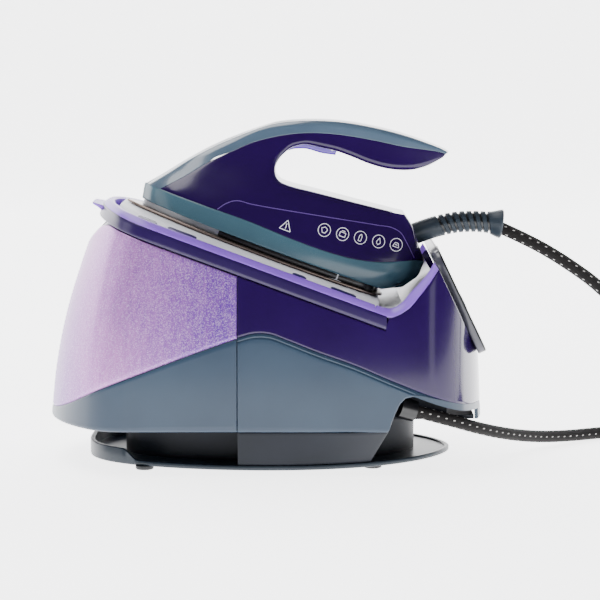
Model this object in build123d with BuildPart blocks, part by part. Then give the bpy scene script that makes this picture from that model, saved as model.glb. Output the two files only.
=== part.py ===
from build123d import *
from math import cos, pi, radians, sin
import os

os.makedirs("parts", exist_ok=True)

# Steam-generator iron: a base with a water tank, a boiler and a sloping iron rest, and the iron on it.
# The tank and the iron's nose are at -X, the control panel and the heel are at +X, +Z is up.

# ---- driving dimensions, in millimetres ----------------------------------------------------------
TILT = 20.0                     # slope of the iron rest, falling towards +X
SEAM_Z = 153.0                  # height of the housing's top seam above the origin
WALL = 3.0                      # thickness of the moulded walls
GAP = 0.4                       # clearance between pieces that move past each other
SEAM_X = -22.0                  # where the removable tank meets the rear housing
HOUSING_Z = 36.0                # lower edge of the housing
FOOT_H = 3.0
TRAY_TOP = 7.0
TRAY_X, TRAY_LONG, TRAY_WIDE = 3.0, 152.0, 100.0    # middle and half sizes of the foot tray
RIM_FACE = 11.0                 # height of the rim's outer face, square to the rest
RIM_TOP = 16.0
MAT_TOP = 17.2
SOLE_LIFT = 18.0                # underside of the soleplate above the seam plane
SOLE_L, SOLE_HALF = 226.0, 58.0
HOSE_D = 10.3
PANEL_L, PANEL_HALF, PANEL_T = 93.0, 66.0, 7.0
TRIGGER_HALF = 8.0
COIL_X, COIL_Y = 454.0, 44.0    # middle of the put-away coil of hose
COIL_R = 57.5                   # middle radius of the coil
COIL_BAND = 21.6                # width and height of the coil's section

# Height, front, rear and half width of the housing at five levels.
HOUSING_LEVELS = [(36, -182, 181, 109), (80, -177, 179, 107.5), (125, -167.5, 177, 103),
                  (165, -155, 175.5, 97), (235, -128, 172, 84)]
# Height above the sole, nose, heel and half width of the iron's body at six levels.
IRON_LEVELS = [(5, 2, 234, 56), (20, 9, 248, 55), (40, 23, 251, 47), (64, 38, 248, 33),
               (96, 60, 250, 20), (136, 84, 256, 15)]

# ---- planes -----------------------------------------------------------------------------------
along = (cos(radians(TILT)), 0, -sin(radians(TILT)))
away = (sin(radians(TILT)), 0, cos(radians(TILT)))
REST = Plane(origin=(0, 0, SEAM_Z), x_dir=along, z_dir=away)
REST_SIDE = Plane(origin=(0, 0, SEAM_Z), x_dir=along, z_dir=(0, -1, 0))
nose = REST.from_local_coords(Vector(-131, 0, SOLE_LIFT))
IRON = Plane(origin=nose, x_dir=along, z_dir=away)
IRON_SIDE = Plane(origin=nose, x_dir=along, z_dir=(0, -1, 0))
PANEL = Plane(origin=(161.9, 0, 136.8), x_dir=(0, 1, 0), z_dir=(0.902, 0, 0.4314))


def save(piece, name):
    """Label a finished piece and write it to its own file."""
    piece.part.label = name
    export_step(piece.part, f"parts/{name}.step")


# ---- forms that several pieces are cut from ---------------------------------------------------
def housing_form(inset):
    """The base's tapering outer form: a bowed front and rear, nearly straight sides, round corners."""
    front_bow, rear_bow, corner = 140.0 - inset, 200.0 - inset, 44.0 - inset
    with BuildPart() as form:
        for height, front, rear, half_width in HOUSING_LEVELS:
            x0, x1, half = front + inset, rear - inset, half_width - inset
            front_end = x0 + front_bow - (front_bow ** 2 - half ** 2) ** 0.5
            rear_end = x1 - rear_bow + (rear_bow ** 2 - half ** 2) ** 0.5
            with BuildSketch(Plane.XY.offset(height)):
                with BuildLine():
                    ThreePointArc((front_end, -half), (x0, 0), (front_end, half))
                    Line((front_end, half), (rear_end, half))
                    ThreePointArc((rear_end, half), (x1, 0), (rear_end, -half))
                    Line((rear_end, -half), (front_end, -half))
                face = make_face()
                fillet(face.vertices(), corner)
        loft()
    return form.part


def iron_form(inset):
    """The iron's outer form: boat-shaped outlines that narrow from the skirt up to the handle."""
    with BuildPart() as form:
        for height, front, rear, half_width in IRON_LEVELS:
            x0, half = front + inset, half_width - inset
            length = rear - inset - x0
            shape = [(0, 0), (0.045, 0.27), (0.16, 0.57), (0.38, 0.88), (0.66, 1), (0.88, 0.93),
                     (0.98, 0.58), (1, 0)]
            points = [(x0 + a * length, b * half) for a, b in shape]
            with BuildSketch(IRON.offset(height)):
                with BuildLine():
                    Spline(points, tangents=[(0, 1), (0, -1)])
                    mirror(about=Plane.XZ)
                make_face()
        loft()
    return form.part


def sole_outline(inset):
    """The soleplate's boat-shaped outline, drawn in the sole's own plane."""
    x0, half = inset * 1.6, SOLE_HALF - inset
    length = SOLE_L - inset - x0
    shape = [(0, 0), (0.03, 0.16), (0.16, 0.53), (0.4, 0.88), (0.7, 1), (0.92, 0.93), (0.99, 0.6), (1, 0)]
    with BuildSketch(IRON) as outline:
        with BuildLine():
            Spline([(x0 + a * length, b * half) for a, b in shape], tangents=[(0, 1), (0, -1)])
            mirror(about=Plane.XZ)
        make_face()
    return outline.sketch


def tray_outline(inset, height):
    """The foot tray's egg-shaped outline, an ellipse that is fuller at the front than at the rear."""
    points = []
    for step in range(13):
        angle = pi * step / 12
        fullness = 0.925 - 0.225 * cos(angle)
        points.append((TRAY_X - TRAY_LONG * cos(angle), TRAY_WIDE * abs(sin(angle)) ** fullness))
    with BuildSketch(Plane.XY.offset(height)) as outline:
        with BuildLine():
            Spline([(TRAY_X + (x - TRAY_X) * (1 - inset / TRAY_LONG), y * (1 - inset / TRAY_WIDE))
                    for x, y in points], tangents=[(0, 1), (0, -1)])
            mirror(about=Plane.XZ)
        make_face()
    return outline.sketch


def side_region(plane, points, inset=0.0):
    """A closed side-view outline, drawn in a plane that looks along Y."""
    with BuildSketch(plane) as region:
        with BuildLine():
            Polyline(*points, close=True)
        make_face()
        if inset:
            offset(amount=-inset, kind=Kind.INTERSECTION)
    return region.sketch


def slab(low, high):
    """A slice of space between two heights above the seam plane."""
    with BuildPart() as space:
        with BuildSketch(REST.offset(low)):
            Rectangle(700, 400)
        extrude(amount=high - low)
    return space.part


def under_form(inset):
    """The form between the tray's lip and the housing's lower edge, spreading as it rises."""
    points = [(-182, 0), (-172, 50), (-140, 98), (-40, 107.5), (28, 107.5), (84, 107.5), (150, 75), (178, 0)]
    with BuildSketch(Plane.XY.offset(HOUSING_Z - GAP)) as upper:
        with BuildLine():
            Spline([(x * (1 - inset / 180), y * (1 - inset / 108)) for x, y in points],
                   tangents=[(0, 1), (0, -1)])
            mirror(about=Plane.XZ)
        make_face()
    with BuildPart() as form:
        loft(sections=[tray_outline(1 + inset, TRAY_TOP).face(), upper.sketch.face()])
    return form.part


def cut_form(form, plane, points, inset=0.0):
    """The stretch of a form that lies inside a side-view outline."""
    with BuildPart() as piece:
        add(form)
        extrude(side_region(plane, points, inset), amount=130, both=True, mode=Mode.INTERSECT)
    return piece.part


outer = housing_form(0)
inner = housing_form(WALL)
iron_outer = iron_form(0)
iron_inner = iron_form(WALL)

# ---- side-view borders of the housing ---------------------------------------------------------
TANK_END = SEAM_X - GAP
TANK_BORDER = [(-190, 40), (-183, 42), (-169, 49), (-136, 68), (-89, 87), (-43, 104), (TANK_END, 111)]
REAR_BORDER = [(SEAM_X, 112), (-8, 115.5), (4, 115), (18, 110), (41, 101), (72, 90), (103, 77),
               (151, 58.5), (190, 46)]


def seam_height(x, lift=0.0):
    """Height of the seam plane, or of a plane lifted square to it, above a point of the X axis."""
    return SEAM_Z + (lift - x * sin(radians(TILT))) / cos(radians(TILT))


# The tank's top follows the rest down to a sloping front edge.
TANK_TOP = [(TANK_END, seam_height(TANK_END, -GAP)), (-130, seam_height(-130, -GAP)), (-152, 178),
            (-190, 100)]
panel_back = [PANEL.from_local_coords(Vector(0, y, -PANEL_T)) for y in (PANEL_L / 2 + 1, -70)]
RISE = [(98, seam_height(98)), (108, 119.5), (118, 128), (129, 143), (134.5, 158), (135, 166)]
HOUSING_TOP = [(190, 70), (panel_back[1].X, panel_back[1].Z), (panel_back[0].X, panel_back[0].Z),
               *reversed(RISE), (SEAM_X, seam_height(SEAM_X))]
CORD_BAY = [(99, 30), (103.5, 48), (108.3, 58.6), (113, 63.5), (119, 64.8), (126, 64.2), (141.4, 60.3),
            (190, 44.5), (190, 30)]
BAY_INNER_Y = 42.0

# ---- water tank ---------------------------------------------------------------------------------
tank_hollow = cut_form(inner, Plane.XZ, [(x, z - 12) for x, z in TANK_BORDER] + TANK_TOP, WALL)
with BuildPart() as tank_shell:
    add(cut_form(outer, Plane.XZ, TANK_BORDER + TANK_TOP))
    add(tank_hollow, mode=Mode.SUBTRACT)
    with Locations(Plane(origin=(TANK_END, 0, 138), z_dir=(1, 0, 0))):
        Hole(11, depth=WALL)
save(tank_shell, "tank_shell")

TANK_FLOOR = [(TANK_END, HOUSING_Z), (-190, HOUSING_Z)]
base_hollow = cut_form(inner, Plane.XZ, [(x, z + 12) for x, z in TANK_BORDER] + TANK_FLOOR, WALL)
with BuildPart() as tank_base:
    add(cut_form(outer, Plane.XZ, TANK_BORDER + TANK_FLOOR))
    add(base_hollow, mode=Mode.SUBTRACT)
    with Locations(Plane(origin=(-40, 0, HOUSING_Z + WALL))):
        Hole(7, depth=WALL)
save(tank_base, "tank_base")

with BuildPart() as tank_filler_cap:
    with BuildSketch(Plane(origin=(TANK_END - WALL, 0, 138), z_dir=(1, 0, 0))):
        Circle(11)
    extrude(amount=WALL)
save(tank_filler_cap, "tank_filler_cap")

with BuildPart() as tank_valve:
    with BuildSketch(Plane(origin=(-40, 0, HOUSING_Z))):
        Circle(7)
    extrude(amount=WALL)
    with BuildSketch(Plane(origin=(-40, 0, HOUSING_Z + WALL))):
        Circle(9)
    extrude(amount=6)
save(tank_valve, "tank_valve")

# ---- rear housing, its lower part and the two cord bays ----------------------------------------
rear_hollow = cut_form(inner, Plane.XZ, HOUSING_TOP + [(x, z - 14) for x, z in REAR_BORDER], WALL)
with BuildPart() as rear_housing:
    add(cut_form(outer, Plane.XZ, HOUSING_TOP + REAR_BORDER))
    add(rear_hollow, mode=Mode.SUBTRACT)
save(rear_housing, "rear_housing")

with BuildPart() as lower_housing:
    add(cut_form(outer, Plane.XZ, REAR_BORDER + [(190, HOUSING_Z), (SEAM_X, HOUSING_Z)]))
    add(inner, mode=Mode.SUBTRACT)
    for side in (-1, 1):
        bay_plane = Plane.XZ.offset(-side * (BAY_INNER_Y + 40))
        extrude(side_region(bay_plane, CORD_BAY), amount=40, both=True, mode=Mode.SUBTRACT)
save(lower_housing, "lower_housing")

for name, side in (("cord_bay_near", -1), ("cord_bay_far", 1)):
    with BuildPart() as bay:
        add(cut_form(inner, Plane.XZ, CORD_BAY, -2.0))
        with BuildSketch(Plane.XY.offset(30)):
            with Locations((115, side * (BAY_INNER_Y + 40))):
                Rectangle(70, 80)
        extrude(amount=60, mode=Mode.INTERSECT)
        bay_plane = Plane.XZ.offset(-side * (BAY_INNER_Y + 43))
        extrude(side_region(bay_plane, CORD_BAY), amount=40, both=True, mode=Mode.SUBTRACT)
    save(bay, name)

with BuildPart() as base_deck:
    add(inner)
    with BuildSketch(Plane.XY.offset(HOUSING_Z)):
        with Locations((38, 0)):
            Rectangle(118, 240)
        with Locations((134, 0)):
            Rectangle(78, 2 * BAY_INNER_Y - 1)
    extrude(amount=WALL, mode=Mode.INTERSECT)
save(base_deck, "base_deck")

# ---- foot, tray and the charcoal sides -----------------------------------------------------------
FRONT_WALL_H = 9.0
with BuildPart() as front_wall:
    extrude(tray_outline(0, TRAY_TOP), amount=FRONT_WALL_H)
    extrude(tray_outline(4, TRAY_TOP), amount=FRONT_WALL_H, mode=Mode.SUBTRACT)
    with BuildSketch(Plane.XY.offset(TRAY_TOP)):
        with Locations((-160, 0)):
            Rectangle(96, 240)
    extrude(amount=FRONT_WALL_H, mode=Mode.INTERSECT)

with BuildPart() as foot_tray:
    extrude(tray_outline(0, FOOT_H), amount=TRAY_TOP - FOOT_H)
    extrude(tray_outline(4, FOOT_H + 2.5), amount=10, mode=Mode.SUBTRACT)
    add(front_wall.part)
save(foot_tray, "foot_tray")

FEET = [(-99, -75), (-99, 75), (88, -68), (88, 68)]
with BuildPart() as rubber_feet:
    with BuildSketch(Plane.XY):
        with Locations(*FEET):
            Circle(7.5)
    extrude(amount=FOOT_H)
save(rubber_feet, "rubber_feet")

with BuildPart() as pedestal:
    extrude(tray_outline(30, FOOT_H + 2.5), amount=HOUSING_Z - GAP - FOOT_H - 2.5)
    extrude(tray_outline(33, FOOT_H + 2.5), amount=HOUSING_Z - GAP - FOOT_H - 5.5, mode=Mode.SUBTRACT)
save(pedestal, "pedestal")

SIDE_END = [(SEAM_X, HOUSING_Z), (SEAM_X, TRAY_TOP), (86, TRAY_TOP), (100, HOUSING_Z)]
for name, side in (("side_panel_near", -1), ("side_panel_far", 1)):
    with BuildPart() as side_panel:
        add(cut_form(under_form(0), Plane.XZ, SIDE_END))
        add(under_form(WALL), mode=Mode.SUBTRACT)
        with BuildSketch(Plane.XY):
            with Locations((0, side * 100)):
                Rectangle(500, 120)
        extrude(amount=60, mode=Mode.INTERSECT)
    save(side_panel, name)

with BuildPart() as tank_release_button:
    with BuildSketch(Plane(origin=(-144, 0, 26), x_dir=(0, 1, 0), z_dir=(1, 0, 0))):
        SlotOverall(44, 9)
    extrude(amount=22)
save(tank_release_button, "tank_release_button")

# ---- iron rest ------------------------------------------------------------------------------------
LIP_HALF = 26.0
rest_length = [(-150, 0), (101, 0), (101, RIM_TOP), (-150, RIM_TOP)]
pocket = [(-140, RIM_FACE), (94, RIM_FACE), (94, 30), (-140, 30)]
well = [(-136, 3), (90, 3), (90, RIM_FACE - 3), (-136, RIM_FACE - 3)]
with BuildPart() as rest_frame:
    add(cut_form(outer, REST_SIDE, rest_length))
    add(cut_form(housing_form(9), REST_SIDE, pocket), mode=Mode.SUBTRACT)
    add(cut_form(housing_form(9), REST_SIDE, well), mode=Mode.SUBTRACT)
    with BuildSketch(REST.offset(-1)):
        with Locations((-145, 0)):
            Rectangle(54, 2 * LIP_HALF)
    extrude(amount=30, mode=Mode.SUBTRACT)
save(rest_frame, "rest_frame")

mat_block = [(-120, RIM_FACE), (93, RIM_FACE), (93, MAT_TOP), (-120, MAT_TOP)]
with BuildPart() as rest_mat:
    add(cut_form(housing_form(9.3), REST_SIDE, mat_block))
save(rest_mat, "rest_mat")

with BuildPart() as mat_pads:
    with BuildSketch(REST.offset(MAT_TOP)):
        for side in (-1, 1):
            with Locations(Location((-96, side * 40), 25 * side)):
                SlotOverall(30, 7)
            with Locations(Location((-58, side * 62), 20 * side)):
                SlotOverall(30, 8)
            with Locations(Location((56, side * 72), 0)):
                SlotOverall(34, 9)
    extrude(amount=0.4)
save(mat_pads, "mat_pads")

with BuildPart() as carry_lock:
    with BuildSketch(Plane.XZ):
        with BuildLine():
            Polyline((-144.5, 215), (-124, 209), (-121, 200.5), (-131, 202))
            ThreePointArc((-131, 202), (-135.5, 208), (-144.5, 213.4))
            Line((-144.5, 213.4), (-144.5, 215))
        make_face()
    extrude(amount=LIP_HALF - GAP, both=True)
save(carry_lock, "carry_lock")

HEEL_BAY_HALF = 64.0
RISE_BELOW = [(101, 118.2)] + [(x, z + 0.2) for x, z in RISE[1:]]
RISE_ABOVE = [(131.5, 168.5), (130, 161), (122, 149), (112, 137.5), (104, 132.5), (101.5, 131)]
with BuildPart() as rim_riser:
    add(cut_form(outer, Plane.XZ, RISE_BELOW + RISE_ABOVE))
    with BuildSketch(Plane.XY.offset(90)):
        with Locations((118, 0)):
            Rectangle(80, 2 * HEEL_BAY_HALF)
    extrude(amount=120, mode=Mode.SUBTRACT)
save(rim_riser, "rim_riser")

# ---- control panel ---------------------------------------------------------------------------------
BUTTONS = {"power_button": (0, -34, 9), "steam_up_button": (20, -6, 7), "steam_down_button": (-20, -6, 7),
           "eco_button": (0, 4, 6), "descale_cap": (0, 34, 10)}
with BuildPart() as control_panel:
    with BuildSketch(PANEL.offset(-PANEL_T)):
        RectangleRounded(2 * PANEL_HALF, PANEL_L, 14)
    extrude(amount=PANEL_T - 1.2)
    for x, y, radius in BUTTONS.values():
        with Locations(PANEL.offset(-1.2)):
            with Locations((x, y)):
                Hole(radius + GAP, depth=PANEL_T - 1.2 - 1.5)
save(control_panel, "control_panel")

with BuildPart() as panel_fascia:
    with BuildSketch(PANEL.offset(-1.2)):
        RectangleRounded(2 * PANEL_HALF, PANEL_L, 14)
    extrude(amount=1.2)
    for x, y, radius in BUTTONS.values():
        with Locations(PANEL):
            with Locations((x, y)):
                Hole(radius + GAP, depth=1.2)
    with BuildSketch(PANEL.offset(-1.2)):
        with Locations((0, 19)):
            RectangleRounded(40, 10, 3)
    extrude(amount=1.2, mode=Mode.SUBTRACT)
save(panel_fascia, "panel_fascia")

with BuildPart() as display_lens:
    with BuildSketch(PANEL.offset(-1.2)):
        with Locations((0, 19)):
            RectangleRounded(39.6, 9.6, 2.8)
    extrude(amount=1.0)
save(display_lens, "display_lens")

for name, (x, y, radius) in BUTTONS.items():
    with BuildPart() as button:
        with BuildSketch(PANEL.offset(-3.0)):
            with Locations((x, y)):
                Circle(radius)
        extrude(amount=4.0)
    save(button, name)

# ---- works inside the base --------------------------------------------------------------------------
BOILER_X, BOILER_Z, BOILER_R, BOILER_HALF = 78.0, 76.0, 31.0, 38.0
with BuildPart() as boiler_form:
    with BuildSketch(Plane.XZ.offset(-BOILER_HALF)):
        with Locations((BOILER_X, BOILER_Z)):
            Circle(BOILER_R)
    extrude(amount=2 * BOILER_HALF)
    fillet(boiler_form.edges().filter_by(GeomType.CIRCLE), 8)

with BuildPart() as boiler_hollow:
    add(boiler_form.part)
    offset(amount=-1.6)

with BuildPart() as boiler_vessel:
    add(boiler_form.part)
    add(boiler_hollow.part, mode=Mode.SUBTRACT)
save(boiler_vessel, "boiler_vessel")

with BuildPart() as boiler_stand:
    with BuildSketch(Plane.XY.offset(HOUSING_Z + WALL)):
        with Locations((BOILER_X, 0)):
            Rectangle(46, 12)
    extrude(amount=20)
    with BuildSketch(Plane.XZ.offset(-20)):
        with Locations((BOILER_X, BOILER_Z)):
            Circle(BOILER_R)
    extrude(amount=40, mode=Mode.SUBTRACT)
save(boiler_stand, "boiler_stand")

with BuildPart() as boiler_heater:
    with BuildSketch(Plane.XZ.offset(BOILER_HALF)):
        with Locations((BOILER_X, BOILER_Z)):
            Circle(16)
    extrude(amount=3)
    with BuildSketch(Plane.XZ.offset(BOILER_HALF + 3)):
        with Locations((BOILER_X - 8, BOILER_Z), (BOILER_X + 8, BOILER_Z)):
            Circle(2.5)
    extrude(amount=7)
save(boiler_heater, "boiler_heater")

with BuildPart() as pressure_thermostat:
    with BuildSketch(Plane.XZ.offset(-BOILER_HALF)):
        with Locations((BOILER_X, BOILER_Z)):
            Circle(9)
    extrude(amount=-7)
save(pressure_thermostat, "pressure_thermostat")

with BuildPart() as water_pump:
    with BuildSketch(Plane.XY.offset(HOUSING_Z + WALL)):
        with Locations((12, -52)):
            RectangleRounded(46, 36, 4)
    extrude(amount=34)
    with BuildSketch(Plane(origin=(35, -52, 56), z_dir=(1, 0, 0))):
        Circle(4)
    extrude(amount=8)
save(water_pump, "water_pump")

with BuildPart() as steam_valve:
    with BuildSketch(Plane.XY.offset(HOUSING_Z + WALL)):
        with Locations((14, 52)):
            Rectangle(26, 26)
    extrude(amount=30)
    with BuildSketch(Plane.XY.offset(HOUSING_Z + WALL + 30)):
        with Locations((14, 52)):
            Circle(6)
    extrude(amount=12)
save(steam_valve, "steam_valve")

with BuildPart() as control_board:
    with BuildSketch(PANEL.offset(-PANEL_T - WALL - 7)):
        with Locations((0, -16)):
            Rectangle(84, 40)
    extrude(amount=1.6)
save(control_board, "control_board")

with BuildPart() as tank_socket:
    with BuildSketch(Plane(origin=(-40, 0, FOOT_H + 2.5))):
        Circle(10)
        Circle(7, mode=Mode.SUBTRACT)
    extrude(amount=12)
save(tank_socket, "tank_socket")

with BuildPart() as base_screws:
    with BuildSketch(Plane.XY.offset(FOOT_H + 2.5)):
        with Locations((-70, 30), (-70, -30), (70, 30), (70, -30)):
            Circle(3.5)
    extrude(amount=2.2)
save(base_screws, "base_screws")

# ---- iron: sole, heat shield and skirt ---------------------------------------------------------------
SOLE_T = 2.0
SHIELD_TOP = 7.0


def sole_layer(inset, low, high, hollow_inset=0.0):
    """A layer of the sole stack between two heights, as a ring if a hollow inset is given."""
    with BuildPart() as layer:
        extrude(sole_outline(inset).moved(Location(Vector(*away) * low)), amount=high - low, dir=away)
        if hollow_inset:
            extrude(sole_outline(hollow_inset).moved(Location(Vector(*away) * low)), amount=high - low,
                    dir=away, mode=Mode.SUBTRACT)
    return layer


save(sole_layer(0, 0, SOLE_T), "soleplate")
save(sole_layer(8, SOLE_T, 11), "sole_casting")
save(sole_layer(14, 11, 12.5), "steam_chamber_cover")
save(sole_layer(3, SOLE_T, SHIELD_TOP, 7.5), "heat_shield")

ELEMENT_LIFT, ELEMENT_R = 16.0, 3.2
with BuildPart() as heating_element:
    with BuildLine(IRON.offset(ELEMENT_LIFT)) as bend:
        Line((200, 24), (110, 24))
        ThreePointArc((110, 24), (86, 0), (110, -24))
        Line((110, -24), (200, -24))
    start = IRON.from_local_coords(Vector(200, 24, ELEMENT_LIFT))
    with BuildSketch(Plane(origin=start, z_dir=-IRON.x_dir)):
        Circle(ELEMENT_R)
    sweep(path=bend.wires()[0])
save(heating_element, "heating_element")

SKIRT_TOP = [(-5, 19.6), (24, 20.3), (68, 21.6), (96, 22.4), (145, 21.2), (173, 21.5), (198, 24),
             (216, 28.5), (240, 37.5), (258, 40)]
skirt_points = [(-5, SHIELD_TOP), *SKIRT_TOP, (257, 34), (252.5, 29), (242, 13), (224, SHIELD_TOP)]
with BuildPart() as skirt:
    add(cut_form(iron_outer, IRON_SIDE, skirt_points))
    add(iron_inner, mode=Mode.SUBTRACT)
save(skirt, "skirt")

# ---- iron: body, handle cover and heel -----------------------------------------------------------------
TOP_LINE = [(11.4, 19.95), (23.1, 34), (36.5, 50.8), (50.5, 66), (64.8, 79.8), (84.7, 96.9),
            (100, 106.9), (123.6, 117.1), (148.2, 124.5), (173.8, 129.1), (200.2, 131.7), (227.4, 131.9),
            (238.4, 130.8)]
UNDERSIDE = [(235.5, 124.6), (226.8, 114.6), (215.9, 106.9), (203.9, 102.4), (191.2, 99.9), (177.8, 99.2),
             (163.9, 99.7), (150.3, 99.6), (138.5, 98.2), (125, 96.2), (114.1, 89.2), (109.2, 80.9),
             (107.2, 73.4), (108, 68.2), (111.6, 62.7), (116.5, 60.3), (126.1, 60.4), (143.1, 62.3),
             (169.6, 64.9), (196, 67.5), (219, 70.1)]
HEEL_LINE = [(224, 70.3), (231, 63.4), (242, 49.5), (246, 44), (251.5, 39.1)]
COVER_EDGE = [(23.4, 20.3), (37.8, 35.9), (51.9, 52.9), (57.8, 60.7), (68.9, 70), (81.9, 82.2),
              (103.8, 96.7), (127, 107.2), (151.7, 114.2), (177, 118.8), (202.8, 122.5), (228, 127.8),
              (237, 128.6)]
COVER_JOINT = [(211, 69.1), (228, 52)]
REAR_COVER = [COVER_JOINT[0], UNDERSIDE[-1], *HEEL_LINE, (240, 37.5), COVER_JOINT[1]]
HOLLOW = [(24, 5), (250, 5), (249, 38), (230, 60), (196, 64), (126, 56.5), (100, 58), (76, 62), (54, 52),
          (34, 28)]
TRIGGER_POCKET = [(104, 82), (107.5, 92.5), (114, 99), (130, 104.3), (153, 105.5), (153, 95), (140, 90),
                  (126, 88), (117, 84)]

cover_part = cut_form(iron_outer, IRON_SIDE, TOP_LINE + list(reversed(COVER_EDGE)))
rear_cover_part = cut_form(iron_outer, IRON_SIDE, REAR_COVER)
body_outline = list(reversed(SKIRT_TOP[2:-1])) + COVER_EDGE + UNDERSIDE[:-1] + COVER_JOINT

BOOT_END = (198, 0, 191.5)
BOOT_AXIS = Vector(0.915, 0, -0.404).normalized()
with BuildPart() as boot_core:
    with BuildLine() as boot_line:
        ThreePointArc((128, 0, 188), (160, 0, 196.5), (189, 0, 195.2))
    with BuildSketch(Plane(origin=boot_line.line @ 0, z_dir=boot_line.line % 0)):
        Circle(9.0)
    sweep(path=boot_line.wires()[0])

with BuildPart() as handle_cover:
    add(cover_part)
save(handle_cover, "handle_cover")

with BuildPart() as trigger_well:
    add(cut_form(iron_outer, IRON_SIDE, TRIGGER_POCKET))
    extrude(side_region(IRON_SIDE, TRIGGER_POCKET), amount=TRIGGER_HALF + GAP, both=True,
            mode=Mode.INTERSECT)

PIVOT = (147.0, 100.0)
PIN_R = 1.5
with BuildPart() as body_shell:
    add(cut_form(iron_outer, IRON_SIDE, body_outline))
    add(cut_form(iron_inner, IRON_SIDE, HOLLOW), mode=Mode.SUBTRACT)
    add(trigger_well.part, mode=Mode.SUBTRACT)
    with BuildSketch(IRON_SIDE):
        with Locations(PIVOT):
            Circle(PIN_R)
    extrude(amount=12, both=True, mode=Mode.SUBTRACT)
    add(boot_core.part, mode=Mode.SUBTRACT)
save(body_shell, "body_shell")

with BuildPart() as rear_cover:
    add(rear_cover_part)
    add(boot_core.part, mode=Mode.SUBTRACT)
save(rear_cover, "rear_cover")

TRIGGER = [(111.5, 84.5), (117.5, 89.3), (126.6, 92.6), (139.5, 93.6), (151, 96), (151, 102.5),
           (128, 99.5), (117, 95), (111.2, 89)]
with BuildPart() as trigger:
    extrude(side_region(IRON_SIDE, TRIGGER), amount=TRIGGER_HALF, both=True)
    with BuildSketch(IRON_SIDE):
        with Locations(PIVOT):
            Circle(PIN_R + 0.05)
    extrude(amount=12, both=True, mode=Mode.SUBTRACT)
save(trigger, "trigger")

with BuildPart() as trigger_pin:
    with BuildSketch(IRON_SIDE):
        with Locations(PIVOT):
            Circle(PIN_R)
    extrude(amount=12, both=True)
save(trigger_pin, "trigger_pin")

with BuildPart() as trigger_switch:
    with BuildSketch(IRON.offset(46)):
        with Locations((128, 0)):
            Rectangle(20, 10)
    extrude(amount=7)
save(trigger_switch, "trigger_switch")

with BuildPart() as thermal_fuse:
    with BuildSketch(IRON.offset(12.5)):
        with Locations((150, 0)):
            RectangleRounded(22, 9, 2)
    extrude(amount=6)
save(thermal_fuse, "thermal_fuse")

with BuildPart() as steam_pipe:
    with BuildSketch(Plane(origin=IRON.from_local_coords(Vector(70, 0, 30)), x_dir=(0, 1, 0),
                           z_dir=IRON.x_dir)):
        Circle(4)
        Circle(2.5, mode=Mode.SUBTRACT)
    extrude(amount=140)
save(steam_pipe, "steam_pipe")

with BuildPart() as iron_screws:
    with BuildSketch(IRON.offset(12.5)):
        with Locations((60, 0), (185, 36), (185, -36)):
            Circle(3)
    extrude(amount=5)
save(iron_screws, "iron_screws")

with BuildPart() as hose_boot:
    add(boot_core.part)
    with BuildSketch(Plane(origin=Vector(*BOOT_END) - BOOT_AXIS * 12, z_dir=BOOT_AXIS)):
        Circle(9.0)
    with BuildSketch(Plane(origin=BOOT_END, z_dir=BOOT_AXIS)):
        Circle(12.5)
    loft()
save(hose_boot, "hose_boot")

# ---- steam hose ----------------------------------------------------------------------------------------
LAYERS = (5.4, 16.0)
LEAD = 40.0
TURN_R = COIL_R + HOSE_D / 2 + 0.3
ENTRY = radians(105)
entry = Vector(COIL_X + TURN_R * cos(ENTRY), COIL_Y + TURN_R * sin(ENTRY), LAYERS[0])
entry_dir = Vector(sin(ENTRY), -cos(ENTRY), 0)
coil_start = entry - entry_dir * LEAD
coil_end = Vector(COIL_X - LEAD, COIL_Y - TURN_R, LAYERS[1])

LOWER_ROUTE = [(122, -62, 46), (152, -52, 36.5), (180, -35, 26), (206, -10, 17), (232, 18, 10),
               (260, 42, 6.4), (288, 62, 5.4), (318, 76, 5.4), tuple(coil_start - entry_dir * 36),
               tuple(coil_start)]
UPPER_ROUTE = [BOOT_END, (224, 0, 180), (254, 0, 162), (282, -0.5, 142), (306, -2, 116), (326, -4.5, 82),
               (339, -7.5, 52), (350, -10.3, 37), (364, -13.3, 26), (381, -16.3, 18.9),
               (398, coil_end.Y, LAYERS[1]), tuple(coil_end)]


def hose(route):
    """A stretch of hose: straight runs joined by the largest tangent arcs that the runs allow."""
    points = [Vector(*point) for point in route]
    radii = []
    for before, corner, after in zip(points, points[1:], points[2:]):
        turn = (corner - before).get_angle(after - corner)
        shorter = min((corner - before).length, (after - corner).length)
        radii.append(0.45 * shorter / abs(sin(radians(turn / 2)) / cos(radians(turn / 2))))
    print("bend radii", [round(radius) for radius in radii])
    with BuildPart() as tube:
        with BuildLine() as path:
            FilletPolyline(*points, radius=radii)
        wire = path.wires()[0]
        with BuildSketch(Plane(origin=points[0], z_dir=(points[1] - points[0]).normalized())):
            Circle(HOSE_D / 2)
        sweep(path=wire)
    area = pi * (HOSE_D / 2) ** 2
    print("length", round(wire.length, 1), "volume over section times length",
          round(tube.part.volume / (area * wire.length), 4))
    return tube


save(hose(LOWER_ROUTE), "hose_lower")
save(hose(UPPER_ROUTE), "hose_upper")

with BuildPart() as hose_coil:
    with BuildSketch(Plane(origin=(COIL_X, COIL_Y, 0))):
        Circle(COIL_R + COIL_BAND / 2)
        Circle(COIL_R - COIL_BAND / 2, mode=Mode.SUBTRACT)
    extrude(amount=COIL_BAND)
    with BuildSketch(Plane(origin=coil_start, z_dir=entry_dir)):
        Circle(HOSE_D / 2)
    extrude(amount=LEAD)
    with BuildSketch(Plane(origin=coil_end, z_dir=(1, 0, 0))):
        Circle(HOSE_D / 2)
    extrude(amount=LEAD)
save(hose_coil, "hose_coil")

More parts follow.
